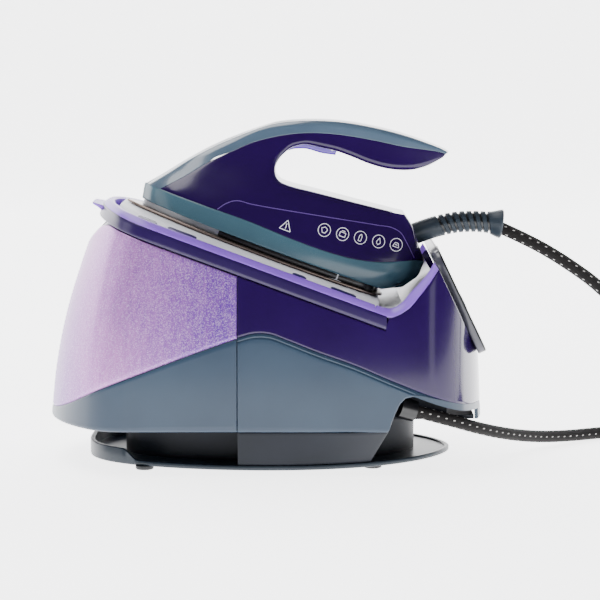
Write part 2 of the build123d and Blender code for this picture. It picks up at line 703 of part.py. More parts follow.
exit_dir = (Vector(*LOWER_ROUTE[1]) - Vector(*LOWER_ROUTE[0])).normalized()
with BuildPart() as hose_gland:
    with BuildSketch(Plane(origin=Vector(*LOWER_ROUTE[0]) - exit_dir * 14, z_dir=exit_dir)):
        Circle(9)
    extrude(amount=14)
save(hose_gland, "hose_gland")

with BuildPart() as mains_gland:
    with BuildSketch(Plane(origin=(106, 62, 47), z_dir=(1, 0, 0))):
        Circle(7.5)
        Circle(3.6, mode=Mode.SUBTRACT)
    extrude(amount=16)
save(mains_gland, "mains_gland")
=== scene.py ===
"""Steam-generator iron: shells, trims, rest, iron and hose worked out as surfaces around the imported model.

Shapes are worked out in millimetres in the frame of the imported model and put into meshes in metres.
"""
from math import atan2, cos, pi, radians, sin

import bmesh
import bpy
import numpy as np
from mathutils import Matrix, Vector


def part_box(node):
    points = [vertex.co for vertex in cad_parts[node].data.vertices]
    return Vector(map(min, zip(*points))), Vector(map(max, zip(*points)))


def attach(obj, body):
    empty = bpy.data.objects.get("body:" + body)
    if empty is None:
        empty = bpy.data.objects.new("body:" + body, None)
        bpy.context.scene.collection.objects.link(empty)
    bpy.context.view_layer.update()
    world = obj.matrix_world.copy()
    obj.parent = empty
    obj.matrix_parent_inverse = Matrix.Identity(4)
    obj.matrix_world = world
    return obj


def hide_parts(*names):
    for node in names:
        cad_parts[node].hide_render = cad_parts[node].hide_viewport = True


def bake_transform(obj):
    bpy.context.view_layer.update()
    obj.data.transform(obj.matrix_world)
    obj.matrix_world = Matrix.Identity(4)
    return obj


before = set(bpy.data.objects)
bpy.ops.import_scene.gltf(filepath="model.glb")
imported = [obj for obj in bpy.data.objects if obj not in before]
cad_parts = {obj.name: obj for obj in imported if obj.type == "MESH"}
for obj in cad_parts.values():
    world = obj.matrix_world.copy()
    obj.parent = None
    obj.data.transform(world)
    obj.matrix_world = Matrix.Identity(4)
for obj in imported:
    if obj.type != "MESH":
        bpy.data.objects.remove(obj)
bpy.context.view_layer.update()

MM = 0.001
SHARP = radians(48.0)           # corners sharper than this stay crisp
TILT = radians(20.0)            # slope of the rest
SEAM_Z = 153.0                  # height of the housing's top seam at the origin
SEAM_X = -22.0                  # joint of the water tank and the rear housing
HOUSING_Z = 36.0
HOSE_D = 10.3
SIDES = ((-1, "near"), (1, "far"))
FRONT_BOW, REAR_BOW, CORNER = 140.0, 200.0, 44.0
# Height, front, rear and half width of the base's form.
HOUSING_LEVELS = np.array([(36, -182, 181, 109), (80, -177, 179, 107.5), (125, -167.5, 177, 103),
                           (165, -155, 175.5, 97), (235, -128, 172, 84)], float)
# Height above the sole, nose, heel and half width of the iron's form.
IRON_LEVELS = np.array([(5, 2, 234, 56), (20, 9, 248, 55), (40, 23, 251, 47), (64, 38, 248, 33),
                        (96, 60, 250, 20), (136, 84, 256, 15)], float)
BOAT = [(0, 0), (0.045, 0.27), (0.16, 0.57), (0.38, 0.88), (0.66, 1), (0.88, 0.93), (0.98, 0.58), (1, 0)]
SOLE = [(0, 0), (0.03, 0.16), (0.16, 0.53), (0.4, 0.88), (0.7, 1), (0.92, 0.93), (0.99, 0.6), (1, 0)]
NOSE = np.array((-131 * cos(TILT) + 18 * sin(TILT), SEAM_Z + 131 * sin(TILT) + 18 * cos(TILT)))


# ---- curves ----
def turns(count):
    """Angles spread evenly once round."""
    return np.linspace(0, 2 * pi, count, endpoint=False)


def run_along(line):
    """Distance run along a line up to each of its points."""
    return np.concatenate([[0], np.cumsum(np.linalg.norm(np.diff(line, axis=0), axis=1))])


def between_points(line, run, at):
    """Points of a line in straight runs, at other distances than its own."""
    return np.stack([np.interp(at, run, column) for column in line.T], 1)


def smooth(points, x):
    """Smooth line through points that rise in x: cubic pieces that share a slope at each point."""
    xs, ys = np.array(points, float).T
    slopes = np.gradient(ys, xs)
    i = np.clip(np.searchsorted(xs, x) - 1, 0, len(xs) - 2)
    step = xs[i + 1] - xs[i]
    f = np.clip((x - xs[i]) / step, 0, 1)
    return (ys[i] * (1 + 2 * f) * (1 - f) ** 2 + ys[i + 1] * f * f * (3 - 2 * f)
            + step * (slopes[i] * f * (1 - f) ** 2 - slopes[i + 1] * f * f * (1 - f)))


def straight(points):
    """Line of straight runs through points, as a function of x."""
    xs, ys = np.array(points, float).T
    return lambda x: np.interp(x, xs, ys)


def curved(points):
    """Smooth line through points, as a function of x."""
    return lambda x: smooth(points, x)


def path(points, count, bend=True):
    """Points spread evenly along a line through the given ones, smooth or in straight runs."""
    points = np.array(points, float)
    run = run_along(points)
    dense = np.linspace(0, run[-1], 40 * len(points))
    line = between_points(points, run, dense)
    if bend:
        line = np.stack([smooth(np.stack([run, column], 1), dense) for column in points.T], 1)
    length = run_along(line)
    return between_points(line, length, np.linspace(0, length[-1], count))


def ease(low, high, x):
    """Rises smoothly from 0 at low to 1 at high."""
    f = np.clip((x - low) / (high - low), 0, 1)
    return f * f * (3 - 2 * f)


# ---- forms ----
def base_sizes(z, inset):
    """Sizes of the base's outline at a height: ends, half width, radii, arc centres and arc angles."""
    front, rear, half = (smooth(HOUSING_LEVELS[:, (0, k)], z) for k in (1, 2, 3))
    x0, x1, w = front + inset, rear - inset, half - inset
    r0, r1, r = FRONT_BOW - inset, REAR_BOW - inset, CORNER - inset
    reach0 = np.sqrt((r0 - r) ** 2 - (w - r) ** 2)
    reach1 = np.sqrt((r1 - r) ** 2 - (w - r) ** 2)
    return x0, x1, w, r0, r1, r, x0 + r0 - reach0, x1 - r1 + reach1, np.arctan2(w - r, reach0), \
        np.arctan2(w - r, reach1)


GIRTH = [0, 104, 140, 375, 425, 511]
REAR_GIRTH = GIRTH[-1]


def base_point(g, z, inset=0.0):
    """Point of the base's form: bowed front, corner arc, straight side, corner arc, bowed rear.

    g is the rough distance round it from the front's middle, negative on the near side."""
    x0, x1, w, r0, r1, r, c0, c1, a0, a1 = base_sizes(z, inset)
    t = np.interp(np.abs(g), GIRTH, range(6))
    q = [np.clip(t - k, 0, 1) for k in range(5)]
    parts = [t < 1, t < 2, t < 3, t < 4]
    b0 = a0 + (pi / 2 - a0) * q[1]
    b1 = (pi / 2 - a1) * q[3]
    x = np.select(parts, [x0 + r0 - r0 * np.cos(a0 * q[0]), c0 - r * np.cos(b0), c0 + (c1 - c0) * q[2],
                          c1 + r * np.sin(b1)], x1 - r1 + r1 * np.cos(a1 * (1 - q[4])))
    y = np.select(parts, [r0 * np.sin(a0 * q[0]), w - r + r * np.sin(b0), w, w - r + r * np.cos(b1)],
                  r1 * np.sin(a1 * (1 - q[4])))
    return x, np.sign(g) * y


def side_girth(x, z, inset=0.0):
    """Girth of the place on the straight side at a given x."""
    *_, c0, c1, a0, a1 = base_sizes(z, inset)
    return GIRTH[2] + (GIRTH[3] - GIRTH[2]) * (x - c0) / (c1 - c0)


def base_half(x, z, inset=0.0):
    """Half width of the base's form at a place of its side view."""
    x0, x1, w, r0, r1, r, c0, c1, a0, a1 = base_sizes(z, inset)
    root = lambda v: np.sqrt(np.maximum(v, 0))
    return np.select([x < c0 - r * np.cos(a0), x < c0, x < c1, x < c1 + r * np.cos(a1)],
                     [root(r0 ** 2 - (x0 + r0 - x) ** 2), w - r + root(r ** 2 - (c0 - x) ** 2), w,
                      w - r + root(r ** 2 - (x - c1) ** 2)], root(r1 ** 2 - (x - x1 + r1) ** 2))


def boat_outline(shape, count=400):
    """Half of a boat's outline as fractions of its length and half width."""
    line = path(shape, count)
    line[0] = line[-1] * (0, 1)
    line[-1] = (1, 0)
    return line


BOAT_LINE = boat_outline(BOAT)
SOLE_LINE = boat_outline(SOLE)


def iron_point(s, h, inset=0.0):
    """Point of the iron's form, in its own side view: s runs -1..1 from the near heel by the nose."""
    nose, heel, half = (smooth(IRON_LEVELS[:, (0, k)], h) for k in (1, 2, 3))
    f = np.linspace(0, 1, len(BOAT_LINE))
    a, b = np.interp(np.abs(s), f, BOAT_LINE[:, 0]), np.interp(np.abs(s), f, BOAT_LINE[:, 1])
    return nose + inset + a * (heel - nose - 2 * inset), np.sign(s) * b * (half - inset)


def iron_half(x, h, inset=0.0):
    """Half width of the iron's form at a place of its side view."""
    nose, heel, half = (smooth(IRON_LEVELS[:, (0, k)], h) for k in (1, 2, 3))
    a = np.clip((x - nose - inset) / (heel - nose - 2 * inset), 0, 1)
    return np.interp(a, BOAT_LINE[:, 0], BOAT_LINE[:, 1]) * (half - inset)


def tilted(x0, z0):
    """Places along, across and above a slope that starts at a point of the side view."""
    def place(x, y, h):
        x, y, h = np.broadcast_arrays(x, y, h)
        return np.stack([x0 + x * cos(TILT) + h * sin(TILT), y, z0 - x * sin(TILT) + h * cos(TILT)], -1)
    return place


on_iron, on_rest = tilted(*NOSE), tilted(0, SEAM_Z)


def upright(x, y, z):
    """Places given in the model's own frame."""
    return np.stack(np.broadcast_arrays(x, y, z), -1)


def seam(lift=0.0):
    """Height of a plane parallel to the rest, as a function of x."""
    return lambda x: SEAM_Z + (lift - x * sin(TILT)) / cos(TILT)


# ---- meshes ----
def grid_mesh(name, points, round_rows=False, round_columns=False):
    """Mesh of quads between neighbouring points of a grid in millimetres, and the column of each quad."""
    rows, columns = points.shape[:2]
    last_row, last_column = rows - (not round_rows), columns - (not round_columns)
    r, c = np.meshgrid(np.arange(last_row), np.arange(last_column), indexing="ij")
    near, far = (r + 1) % rows, (c + 1) % columns
    faces = np.stack([r * columns + c, r * columns + far, near * columns + far, near * columns + c], -1)
    mesh = bpy.data.meshes.new(name)
    mesh.from_pydata((points.reshape(-1, 3) * MM).tolist(), [], faces.reshape(-1, 4).tolist())
    return mesh, c.reshape(-1)


def surface(name, points, body, finish, replaced=(), round_rows=False, round_columns=False, uv=None):
    """Grid of points made a mesh of quads; rows or columns may close into a ring, and doubles merge.

    A piece without a body of its own is left unattached."""
    mesh, column = grid_mesh(name, points, round_rows, round_columns)
    if uv is not None:
        layer = mesh.uv_layers.new(name="run")
        corners = np.zeros(len(mesh.loops), dtype=np.int32)
        mesh.loops.foreach_get("vertex_index", corners)
        values = uv.reshape(-1, 2)[corners]
        closing = np.repeat(column == points.shape[1] - 1, 4)
        values[:, 1] += np.tile([0, 1, 1, 0], len(mesh.polygons)) * closing
        layer.data.foreach_set("uv", values.reshape(-1))
    work = bmesh.new()
    work.from_mesh(mesh)
    bmesh.ops.remove_doubles(work, verts=work.verts, dist=2e-6)
    bmesh.ops.dissolve_degenerate(work, edges=work.edges, dist=1e-7)
    open_edges = [edge for edge in work.edges if edge.is_boundary]
    if open_edges:
        bmesh.ops.holes_fill(work, edges=open_edges, sides=0)
    bmesh.ops.recalc_face_normals(work, faces=work.faces)
    for face in work.faces:
        face.smooth = len(face.verts) < 5
    for edge in work.edges:
        edge.smooth = edge.calc_face_angle(0.0) < SHARP
    work.to_mesh(mesh)
    work.free()
    piece = bpy.data.objects.new(name, mesh)
    bpy.context.scene.collection.objects.link(piece)
    mesh.materials.append(finish)
    if body:
        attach(piece, body)
    if replaced:
        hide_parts(*replaced)
    return piece


def span(lower, upper, low_edge, high_edge, count):
    """Rows of a wall from one border to the other: at each edge, distances from the border and insets."""
    low, high = low_edge[-1][0], high_edge[0][0]
    rows = [(lambda x, d=d: lower(x) + d, inset) for d, inset in low_edge]
    for f in np.linspace(0, 1, count + 2)[1:-1]:
        rows.append((lambda x, f=f: (lower(x) + low) * (1 - f) + (upper(x) - high) * f, 0.0))
    return rows + [(lambda x, d=d: upper(x) - d, inset) for d, inset in high_edge]


ROLL = [(0, 3), (0, 0.8), (0.25, 0.25), (0.8, 0)]
LOR = ROLL[::-1]


def wall(point, girth, rows, columns, start):
    """Places of a wall on a form: each row's height depends on x, found by repeated correction."""
    s = np.array([c[0] for c in columns])[None, :]
    d = np.array([c[1] for c in columns])[None, :]
    inset = np.maximum(np.array([r[1] for r in rows])[:, None], np.array([c[2] for c in columns])[None, :])
    z = np.full(inset.shape, float(start))
    for _ in range(30):
        x, y = point(girth(s, d, z), z, inset)
        z = np.stack([row[0](x[k]) for k, row in enumerate(rows)])
    return x, y, z


def ends(count, low=ROLL, high=LOR):
    """Columns of a wall: rolled edges at both ends and even ones between."""
    first = [(-1.0, d, i) for d, i in low]
    last = [(1.0, d, i) for d, i in high]
    return first + [(s, low[-1][0], 0.0) for s in np.linspace(-1, 1, count + 2)[1:-1]] + last


def base_wall(name, girth, rows, columns, start, body, finish, replaced=()):
    """Part of the base's form between two borders: wall of the given rows and columns."""
    surface(name, upright(*wall(base_point, girth, rows, ends(columns), start)), body, finish,
            replaced, True)


def to_rear(rear):
    """Columns that go from the near side's place at x = rear round the front to the far side's."""
    return lambda s, d, z: s * side_girth(rear - d, z)


def capped(grid):
    """Cross-sections closed at both ends over their middles."""
    middle = np.broadcast_to(grid.mean(0), grid.shape)
    return np.concatenate([middle[:, :1], grid, middle[:, -1:]], 1)


# Places over a bar's flat face, with two close ones where the trigger's pocket ends.
ACROSS = [0, 2, 4, 6, 8.2, 8.7, 11, 15, 20, 28, 40]
POCKET_HALF = 8.5


def band(outer, inner, half_width, place, r_outer=0.6, r_inner=0.6, crown=0.0,
         pocket=lambda x: 0 * x):
    """Closed bar between two side-view lines: across it, flat faces, rounded corners and form-wide sides.

    Each cross-section goes over the inner face, round a corner, down the side, round the outer corner
    and over the outer face, then back on the far side."""
    reach = np.linalg.norm(outer - inner, axis=1)
    w_in, w_mid, w_out = (half_width(*line.T) for line in (inner, (outer + inner) / 2, outer))
    small = np.minimum(np.minimum(w_in, w_mid), w_out)
    ri = np.minimum(r_inner, 0.45 * np.minimum(reach, small))
    ro = np.minimum(r_outer, 0.45 * np.minimum(reach, small))
    arc = np.linspace(0, pi / 2, 8)
    half = [(pocket(inner[:, 0]) * (y < POCKET_HALF), np.minimum(y, np.maximum(w_in - ri, 0)),
             None) for y in ACROSS]
    half += [(ri * (1 - cos(a)), None, ri * (1 - sin(a))) for a in arc]
    half += [(ri + (reach - ri - ro) * f, None, 0 * reach) for f in np.linspace(0, 1, 14)[1:-1]]
    half += [(reach - ro * (1 - cos(a)), None, ro * (1 - sin(a))) for a in arc[::-1]]
    half += [(reach + crown * (1 - f * f), np.maximum(w_out - ro, 0) * f, None)
             for f in np.linspace(1, 0, 6)[1:]]
    ring = []
    for d, flat, inset in half:
        spot = inner + (outer - inner) * (d / np.maximum(reach, 1e-6))[:, None]
        y = flat if flat is not None else np.maximum(half_width(*spot.T) - inset, 0)
        ring.append(place(spot[:, 0], y, spot[:, 1]))
    near = [p * (1, -1, 1) for p in ring]
    return capped(np.stack(ring + near[::-1]))


def stack(outline, profile, place):
    """Outline carried up a profile of (inset, height) pairs and closed over its middle at both ends."""
    rings = []
    for inset, height in profile:
        x, y = outline(inset)
        rings.append(place(x, y, height + 0 * x))
    first, last = (ring * (1, 0, 1) for ring in (rings[0], rings[-1]))
    return np.stack([first] + rings + [last])


def plate(outline, profile, place):
    """Outline carried up a profile and closed to a point at both ends."""
    grid = stack(outline, profile, place)
    grid[0], grid[-1] = grid[1].mean(0), grid[-2].mean(0)
    return grid


def tube(line, radius, count):
    """Round section carried along a line without twist; radius may change along and around it."""
    ahead = np.gradient(line, axis=0)
    ahead /= np.linalg.norm(ahead, axis=1)[:, None]
    side = np.cross((0, 1, 0) if abs(ahead[0][1]) < 0.9 else (1, 0, 0), ahead[0])
    sides = []
    for direction in ahead:
        side = side - direction * side.dot(direction)
        side = side / np.linalg.norm(side)
        sides.append(side)
    sides = np.array(sides)
    ups = np.cross(ahead, sides)
    turn = turns(count)[None, :, None]
    radius = np.broadcast_to(radius, (len(line), count))[..., None]
    return line[:, None] + radius * (np.cos(turn) * sides[:, None] + np.sin(turn) * ups[:, None])


# ---- shader maths ----
def maths(operation):
    """Method that adds a Math node for its socket and any further value."""
    return lambda *values: values[0].finish.node("Math", {"operation": operation}, dict(enumerate(values)))


class Socket:
    """A value in a material's nodes: arithmetic on it adds Math nodes."""
    __add__ = __radd__ = maths("ADD")
    __mul__ = __rmul__ = maths("MULTIPLY")
    __sub__, __truediv__ = maths("SUBTRACT"), maths("DIVIDE")
    over, fraction, size, wave = maths("GREATER_THAN"), maths("FRACT"), maths("ABSOLUTE"), maths("SINE")

    def __init__(self, finish, out):
        self.finish, self.out = finish, out

    def __rsub__(self, other):
        return self.finish.node("Math", {"operation": "SUBTRACT"}, {0: other, 1: self})

    def limited(self):
        return self.finish.node("Clamp", {}, {0: self, 1: 0.0, 2: 1.0})

    def between(self, low, high):
        """Rises smoothly from 0 at low to 1 at high."""
        return self.finish.node("MapRange", {"interpolation_type": "SMOOTHSTEP"},
                                {0: self, 1: low, 2: high, 3: 0.0, 4: 1.0})


class Finish:
    """One material: a Principled surface and the nodes that vary it."""

    def __init__(self, name, **constants):
        self.material = bpy.data.materials.new(name)
        self.material.use_nodes = True
        self.tree = self.material.node_tree
        self.shader = self.tree.nodes["Principled BSDF"]
        for key, value in constants.items():
            self.shader.inputs[key.replace("_", " ")].default_value = value
        self.places = self.node("TexCoord", {}, {}, "Object")

    def node(self, kind, settings, values, output=0):
        made = self.tree.nodes.new("ShaderNode" + kind)
        for key, value in settings.items():
            setattr(made, key, value)
        for key, value in values.items():
            if isinstance(value, Socket):
                self.tree.links.new(value.out, made.inputs[key])
            else:
                made.inputs[key].default_value = value
        return Socket(self, made.outputs[output])

    def noise(self, scale, detail=2.0, rough=0.5, stretch=None):
        where = self.places
        if stretch is not None:
            where = self.node("Mapping", {}, {"Vector": where, "Scale": stretch})
        return self.node("TexNoise", {}, {"Vector": where, "Scale": scale, "Detail": detail,
                                          "Roughness": rough})

    def grains(self, scale):
        """A random number for each small cell."""
        cells = self.node("TexVoronoi", {}, {"Vector": self.places, "Scale": scale}, "Color")
        return self.node("SeparateColor", {}, {0: cells}, 0)

    def parts(self, where):
        """The three numbers of a place."""
        made = self.node("SeparateXYZ", {}, {0: where})
        return [Socket(self, out) for out in made.out.node.outputs]

    def mix(self, factor, first, second):
        """Colour between two others."""
        first, second = (value if isinstance(value, Socket) else (*value, 1.0) for value in (first, second))
        return self.node("Mix", {"data_type": "RGBA"}, {0: factor, 6: first, 7: second}, 2)

    def feed(self, name, value):
        self.tree.links.new(value.out, self.shader.inputs[name])
        return self

    def bump(self, height, distance, strength=1.0):
        relief = self.node("Bump", {}, {"Strength": strength, "Distance": distance, "Height": height})
        return self.feed("Normal", relief)


def tone(red, green, blue):
    """A colour given as screen values out of 255, made linear."""
    return tuple(((v / 255 + 0.055) / 1.055) ** 2.4 if v > 10.3 else v / 255 / 12.92
                 for v in (red, green, blue))


def moulded(name, colour, rough, light=None, grain=20, coat=0.0, shine=0.5):
    """Moulded plastic: faint cloudy tint, fine grain that breaks the gloss and a ripple in micrometres."""
    made = Finish(name, Coat_Weight=coat, Coat_Roughness=0.06, Specular_IOR_Level=shine)
    cloud = made.noise(18.0, 3.0)
    fine = made.noise(2600.0, 2.0)
    dark = tone(*colour)
    light = tone(*light) if light else tuple(min(1.0, v * 1.22 + 0.004) for v in dark)
    made.feed("Base Color", made.mix((cloud * 0.7 + fine * 0.3).between(0.3, 0.7), dark, light))
    made.feed("Roughness", rough + (cloud - 0.5) * 0.12 * rough + (fine - 0.5) * 0.25 * rough)
    made.bump(made.noise(60.0, 2.0) * 1.5 + fine * 0.4, grain * 1e-6)
    return made.material


def sparkle_lilac():
    """Metallic lilac tank: fine bright flakes, an upright brushed shimmer and a painted highlight that makes the
    bowed front paler.
    """
    made = Finish("sparkle_lilac", Coat_Weight=0.2, Coat_Roughness=0.12, Specular_IOR_Level=0.4)
    x = made.parts(made.places)[0]
    flakes = made.grains(1900.0)
    coarse = made.grains(1100.0)
    brushed = made.noise(70.0, 4.0, 0.6, (6.0, 6.0, 0.35))
    cloud = made.noise(9.0, 2.0)
    # Painted highlight on the bowed front: lighter from 20 mm before the origin, fullest from 130 mm, gone again
    # by 185 mm towards the nose.
    front_highlight = (0.0 - x).between(0.02, 0.2)
    front_highlight = front_highlight * (0.0 - x).between(0.185, 0.13) * 0.9 + 0.1
    # The light pink end serves the tank's own shimmer and cloud, and also the painted highlight on the bowed
    # front.
    body = made.mix((front_highlight * 0.8 + (brushed - 0.5) * 0.5 + (cloud - 0.5) * 0.35).limited(), tone(92, 48, 146),
                    tone(214, 140, 208))
    body = made.mix((flakes.over(0.74) * 0.3 + coarse.over(0.9) * 0.18), body, tone(226, 196, 236))
    made.feed("Base Color", body)
    made.feed("Metallic", 0.3 + flakes * 0.3)
    made.feed("Roughness", 0.34 + (brushed - 0.5) * 0.25 + flakes * 0.12)
    made.bump(flakes * 0.5 + brushed, 0.00006)
    return made.material


def hose_braid():
    """Textile hose cover: crossed black yarns with short white tracer stitches in staggered rows."""
    made = Finish("hose_braid", Roughness=0.8, Specular_IOR_Level=0.25)
    # run is in millimetres along the hose, turn goes 0..1 round it
    run, turn, _ = made.parts(made.node("UVMap", {"uv_map": "run"}, {}, "UV"))
    left = ((run * 0.42 + turn * 12.0) * (2 * pi)).wave()
    right = ((run * 0.42 - turn * 12.0) * (2 * pi)).wave()
    weave = left * right
    row = turn * 5.0
    stagger = (row - row.fraction()) * 0.5
    step = (run / 7.6 + stagger.fraction()).fraction()
    across = (row.fraction() - 0.5 + (step - 0.3) * 0.22).size()
    stitch = step.between(0.04, 0.08) * (1.0 - step.between(0.28, 0.34)) * (1.0 - across.between(0.055, 0.085))
    fuzz = made.noise(2500.0, 2.0)
    yarn = made.mix((weave * 0.5 + 0.5) * (0.4 + fuzz * 0.6), tone(4, 3, 3), tone(26, 22, 22))
    made.feed("Base Color", made.mix(stitch, yarn, tone(200, 198, 194)))
    made.feed("Roughness", 0.62 + fuzz * 0.25)
    made.bump(weave * 0.6 + stitch * 0.6 + fuzz * 0.3, 0.0003)
    return made.material


def brushed_metal(name, colour, rough):
    """Metal with long fine lines in its colour, gloss and relief."""
    made = Finish(name)
    dark = tone(*colour)
    lines = made.noise(300.0, 3.0, 0.6, (0.3, 4.0, 4.0))
    cloud = made.noise(20.0)
    light = tuple(min(1.0, v * 1.3 + 0.01) for v in dark)
    made.feed("Base Color", made.mix(lines * 0.6 + cloud * 0.4, dark, light))
    made.feed("Metallic", 1.0 - cloud * 0.08)
    made.feed("Roughness", rough + (lines - 0.5) * 0.18)
    made.bump(lines, 0.00003)
    return made.material


PURPLE = moulded("gloss_purple", (24, 0, 56), 0.16, (28, 1, 64), 12, 0.12, 0.38)
TANK = sparkle_lilac()
SLATE = moulded("slate_plastic", (38, 54, 72), 0.32, (44, 61, 79), shine=0.4)
SKIRT_SLATE = moulded("skirt_slate", (58, 88, 102), 0.26, (66, 98, 112), 15, 0.1, 0.4)
STRIP_SLATE = moulded("strip_slate", (66, 84, 102), 0.22, (76, 94, 112), 15, 0.6)
SLATE_DARK = moulded("boot_slate", (34, 43, 52), 0.42, (41, 51, 61), 30, 0.0, 0.3)
TRAY_SLATE = moulded("tray_slate", (34, 42, 50), 0.34, (40, 48, 56), shine=0.3)
CHARCOAL = moulded("charcoal_plastic", (22, 25, 31), 0.45, (28, 31, 38), 40, 0.0, 0.14)
BLACK = moulded("black_plastic", (8, 8, 11), 0.3, (13, 13, 16), 20, 0.1)
RIM_FACE = moulded("rim_lilac_face", (28, 8, 60), 0.3, (32, 11, 66), 10, 0.1, 0.4)
RIM_EDGE = moulded("rim_lilac_edge", (128, 82, 200), 0.3, (138, 94, 208), 10, 0.0, 0.35)
MAT = moulded("mat_white", (222, 222, 230), 0.5, (236, 236, 242), 60)
PADS = moulded("pad_purple", (34, 12, 74), 0.35, coat=0.2)
TRIGGER = moulded("trigger_lilac", (84, 52, 168), 0.25, (94, 62, 178), 10, 0.4)
# Painted highlight: a light lilac colour for the thin line that stands in for light caught on the edge of the
# inset on the iron's side.
INSET_EDGE_HIGHLIGHT = moulded("inset_edge_painted_highlight", (84, 60, 128), 0.3)
PRINT = moulded("white_print", (226, 226, 236), 0.45)
PANEL_GREY = moulded("panel_grey", (58, 58, 68), 0.3, coat=0.3)
FASCIA = moulded("fascia_black", (14, 14, 19), 0.32, None, 8, 0.12, 0.3)
BUTTON = moulded("button_grey", (120, 126, 140), 0.3, coat=0.2)
LENS = moulded("lens_dark", (20, 26, 34), 0.06, None, 4, 1.0)
RUBBER = moulded("rubber_black", (22, 23, 26), 0.6, None, 50)
SOLE_EDGE = brushed_metal("sole_bronze", (122, 108, 100), 0.3)
STEEL = brushed_metal("steel", (168, 170, 174), 0.28)
ALUMINIUM = brushed_metal("cast_aluminium", (150, 152, 156), 0.45)
BRASS = brushed_metal("brass", (190, 160, 90), 0.3)
INNER = moulded("inner_plastic", (180, 182, 186), 0.5, None, 30)
BOARD = moulded("board_green", (24, 84, 56), 0.4, None, 20)
BRAID = hose_braid()

# ---- camera and light ----
scene = bpy.context.scene
camera_data = bpy.data.cameras.new("camera")
camera_data.lens = 135.7
camera_data.sensor_width = 36.0
camera = bpy.data.objects.new("camera", camera_data)
camera.location = (0.0283, -1.900, 0.352)
camera.rotation_euler = (radians(90 - 6.65), 0, 0)
scene.collection.objects.link(camera)
scene.camera = camera


def softbox(name, place, aim, width, height, watts):
    """Rectangular light at a place, turned to an aim."""
    data = bpy.data.lights.new(name, "AREA")
    data.shape = "RECTANGLE"
    data.size, data.size_y, data.energy = width, height, watts
    light = bpy.data.objects.new(name, data)
    light.location = place
    turned = np.array(place) - np.array(aim)
    heading = atan2(turned[1], turned[0])
    light.rotation_euler = (atan2((turned[0] ** 2 + turned[1] ** 2) ** 0.5, turned[2]), 0, heading + pi / 2)
    scene.collection.objects.link(light)


softbox("key_top", (-0.6, 0.1, 1.8), (-0.05, 0, 0.15), 1.5, 0.9, 30)
softbox("left", (-2.1, -0.45, 0.8), (-0.1, 0, 0.12), 0.8, 1.3, 8)
softbox("front_right", (1.5, -1.9, 0.7), (0.1, 0, 0.12), 0.5, 1.3, 4)
softbox("back_right", (1.6, 1.2, 1.2), (0, 0, 0.15), 1.2, 1.2, 6)
softbox("back_left", (-1.4, 1.5, 1.1), (0, 0, 0.15), 1.2, 1.2, 5)
world = bpy.data.worlds.new("studio")
scene.world = world
world.use_nodes = True
world.node_tree.nodes["Background"].inputs[0].default_value = (0.93, 0.94, 1.0, 1)
world.node_tree.nodes["Background"].inputs[1].default_value = 0.16


def studio_floor():
    """Floor that sweeps up behind: a flat sheet, a quarter circle and an upright sheet, ruled sideways."""
    bend, reach = 1200.0, 2600.0
    sweep = [(reach + bend * sin(a), bend * (1 - cos(a))) for a in np.linspace(0, pi / 2, 24)]
    line = [(-16000.0, 0.0)] + sweep + [(reach + bend, 4500.0)]
    mesh, _ = grid_mesh("studio_floor", np.array([[(y, x, z) for y in np.linspace(-14000, 14000, 5)]
                                                 for x, z in line]))
    mesh.shade_smooth()
    floor = bpy.data.objects.new("studio_floor", mesh)
    scene.collection.objects.link(floor)
    paper = Finish("pale_paper", Roughness=0.9, Emission_Strength=3.6)
    paper.feed("Base Color", paper.mix(paper.noise(30.0), (0.86, 0.86, 0.87), (0.9, 0.9, 0.905)))
    paper.feed("Emission Color", paper.mix(paper.noise(8.0), (0.97, 0.97, 0.98), (1.0, 1.0, 1.0)))
    mesh.materials.append(paper.material)


studio_floor()

# ---- hose ----
COIL_X, COIL_Y, COIL_OUT, COIL_IN = 454.0, 44.0, 62.95, 52.3
LAYERS = (5.4, 16.0)
LEAD = 40.0
ENTRY = 105.0
COIL_TURN = 915.0
entry = np.array((COIL_X + COIL_OUT * cos(radians(ENTRY)), COIL_Y + COIL_OUT * sin(radians(ENTRY)),
                  LAYERS[0]))
entry_dir = np.array((sin(radians(ENTRY)), -cos(radians(ENTRY)), 0))
coil_start = entry - entry_dir * LEAD
LOWER_ROUTE = [(122, -62, 46), (152, -52, 36.5), (180, -35, 26), (206, -10, 17), (232, 18, 10),
               (260, 42, 6.4),
               (288, 62, 5.4), (318, 76, 5.4), tuple(coil_start - entry_dir * 36), tuple(coil_start)]
UPPER_ROUTE = [(198, 0, 191.5), (224, 0, 180), (254, 0, 162), (282, -0.5, 142), (306, -2, 116),
               (326, -4.5, 82),
               (339, -7.5, 52), (350, -10.3, 37), (364, -13.3, 26), (381, -16.3, 18.9),
               (398, COIL_Y - COIL_OUT, 16),
               (COIL_X - LEAD, COIL_Y - COIL_OUT, LAYERS[1])]


def coil_turns(count=44):
    """Coil: outer turn on the floor, in to the inner turn, up a layer and out again on top."""
    angle = np.linspace(0, COIL_TURN, count)
    inward = ease(280, 350, angle) - ease(700, 770, angle)
    radius = (COIL_OUT + (COIL_IN - COIL_OUT) * inward) / cos(radians(COIL_TURN / (count - 1)) / 2)
    height = LAYERS[0] + (LAYERS[1] - LAYERS[0]) * ease(630, 705, angle)
    heading = np.radians(ENTRY - angle)
    return np.stack([COIL_X + radius * np.cos(heading), COIL_Y + radius * np.sin(heading), height], 1)


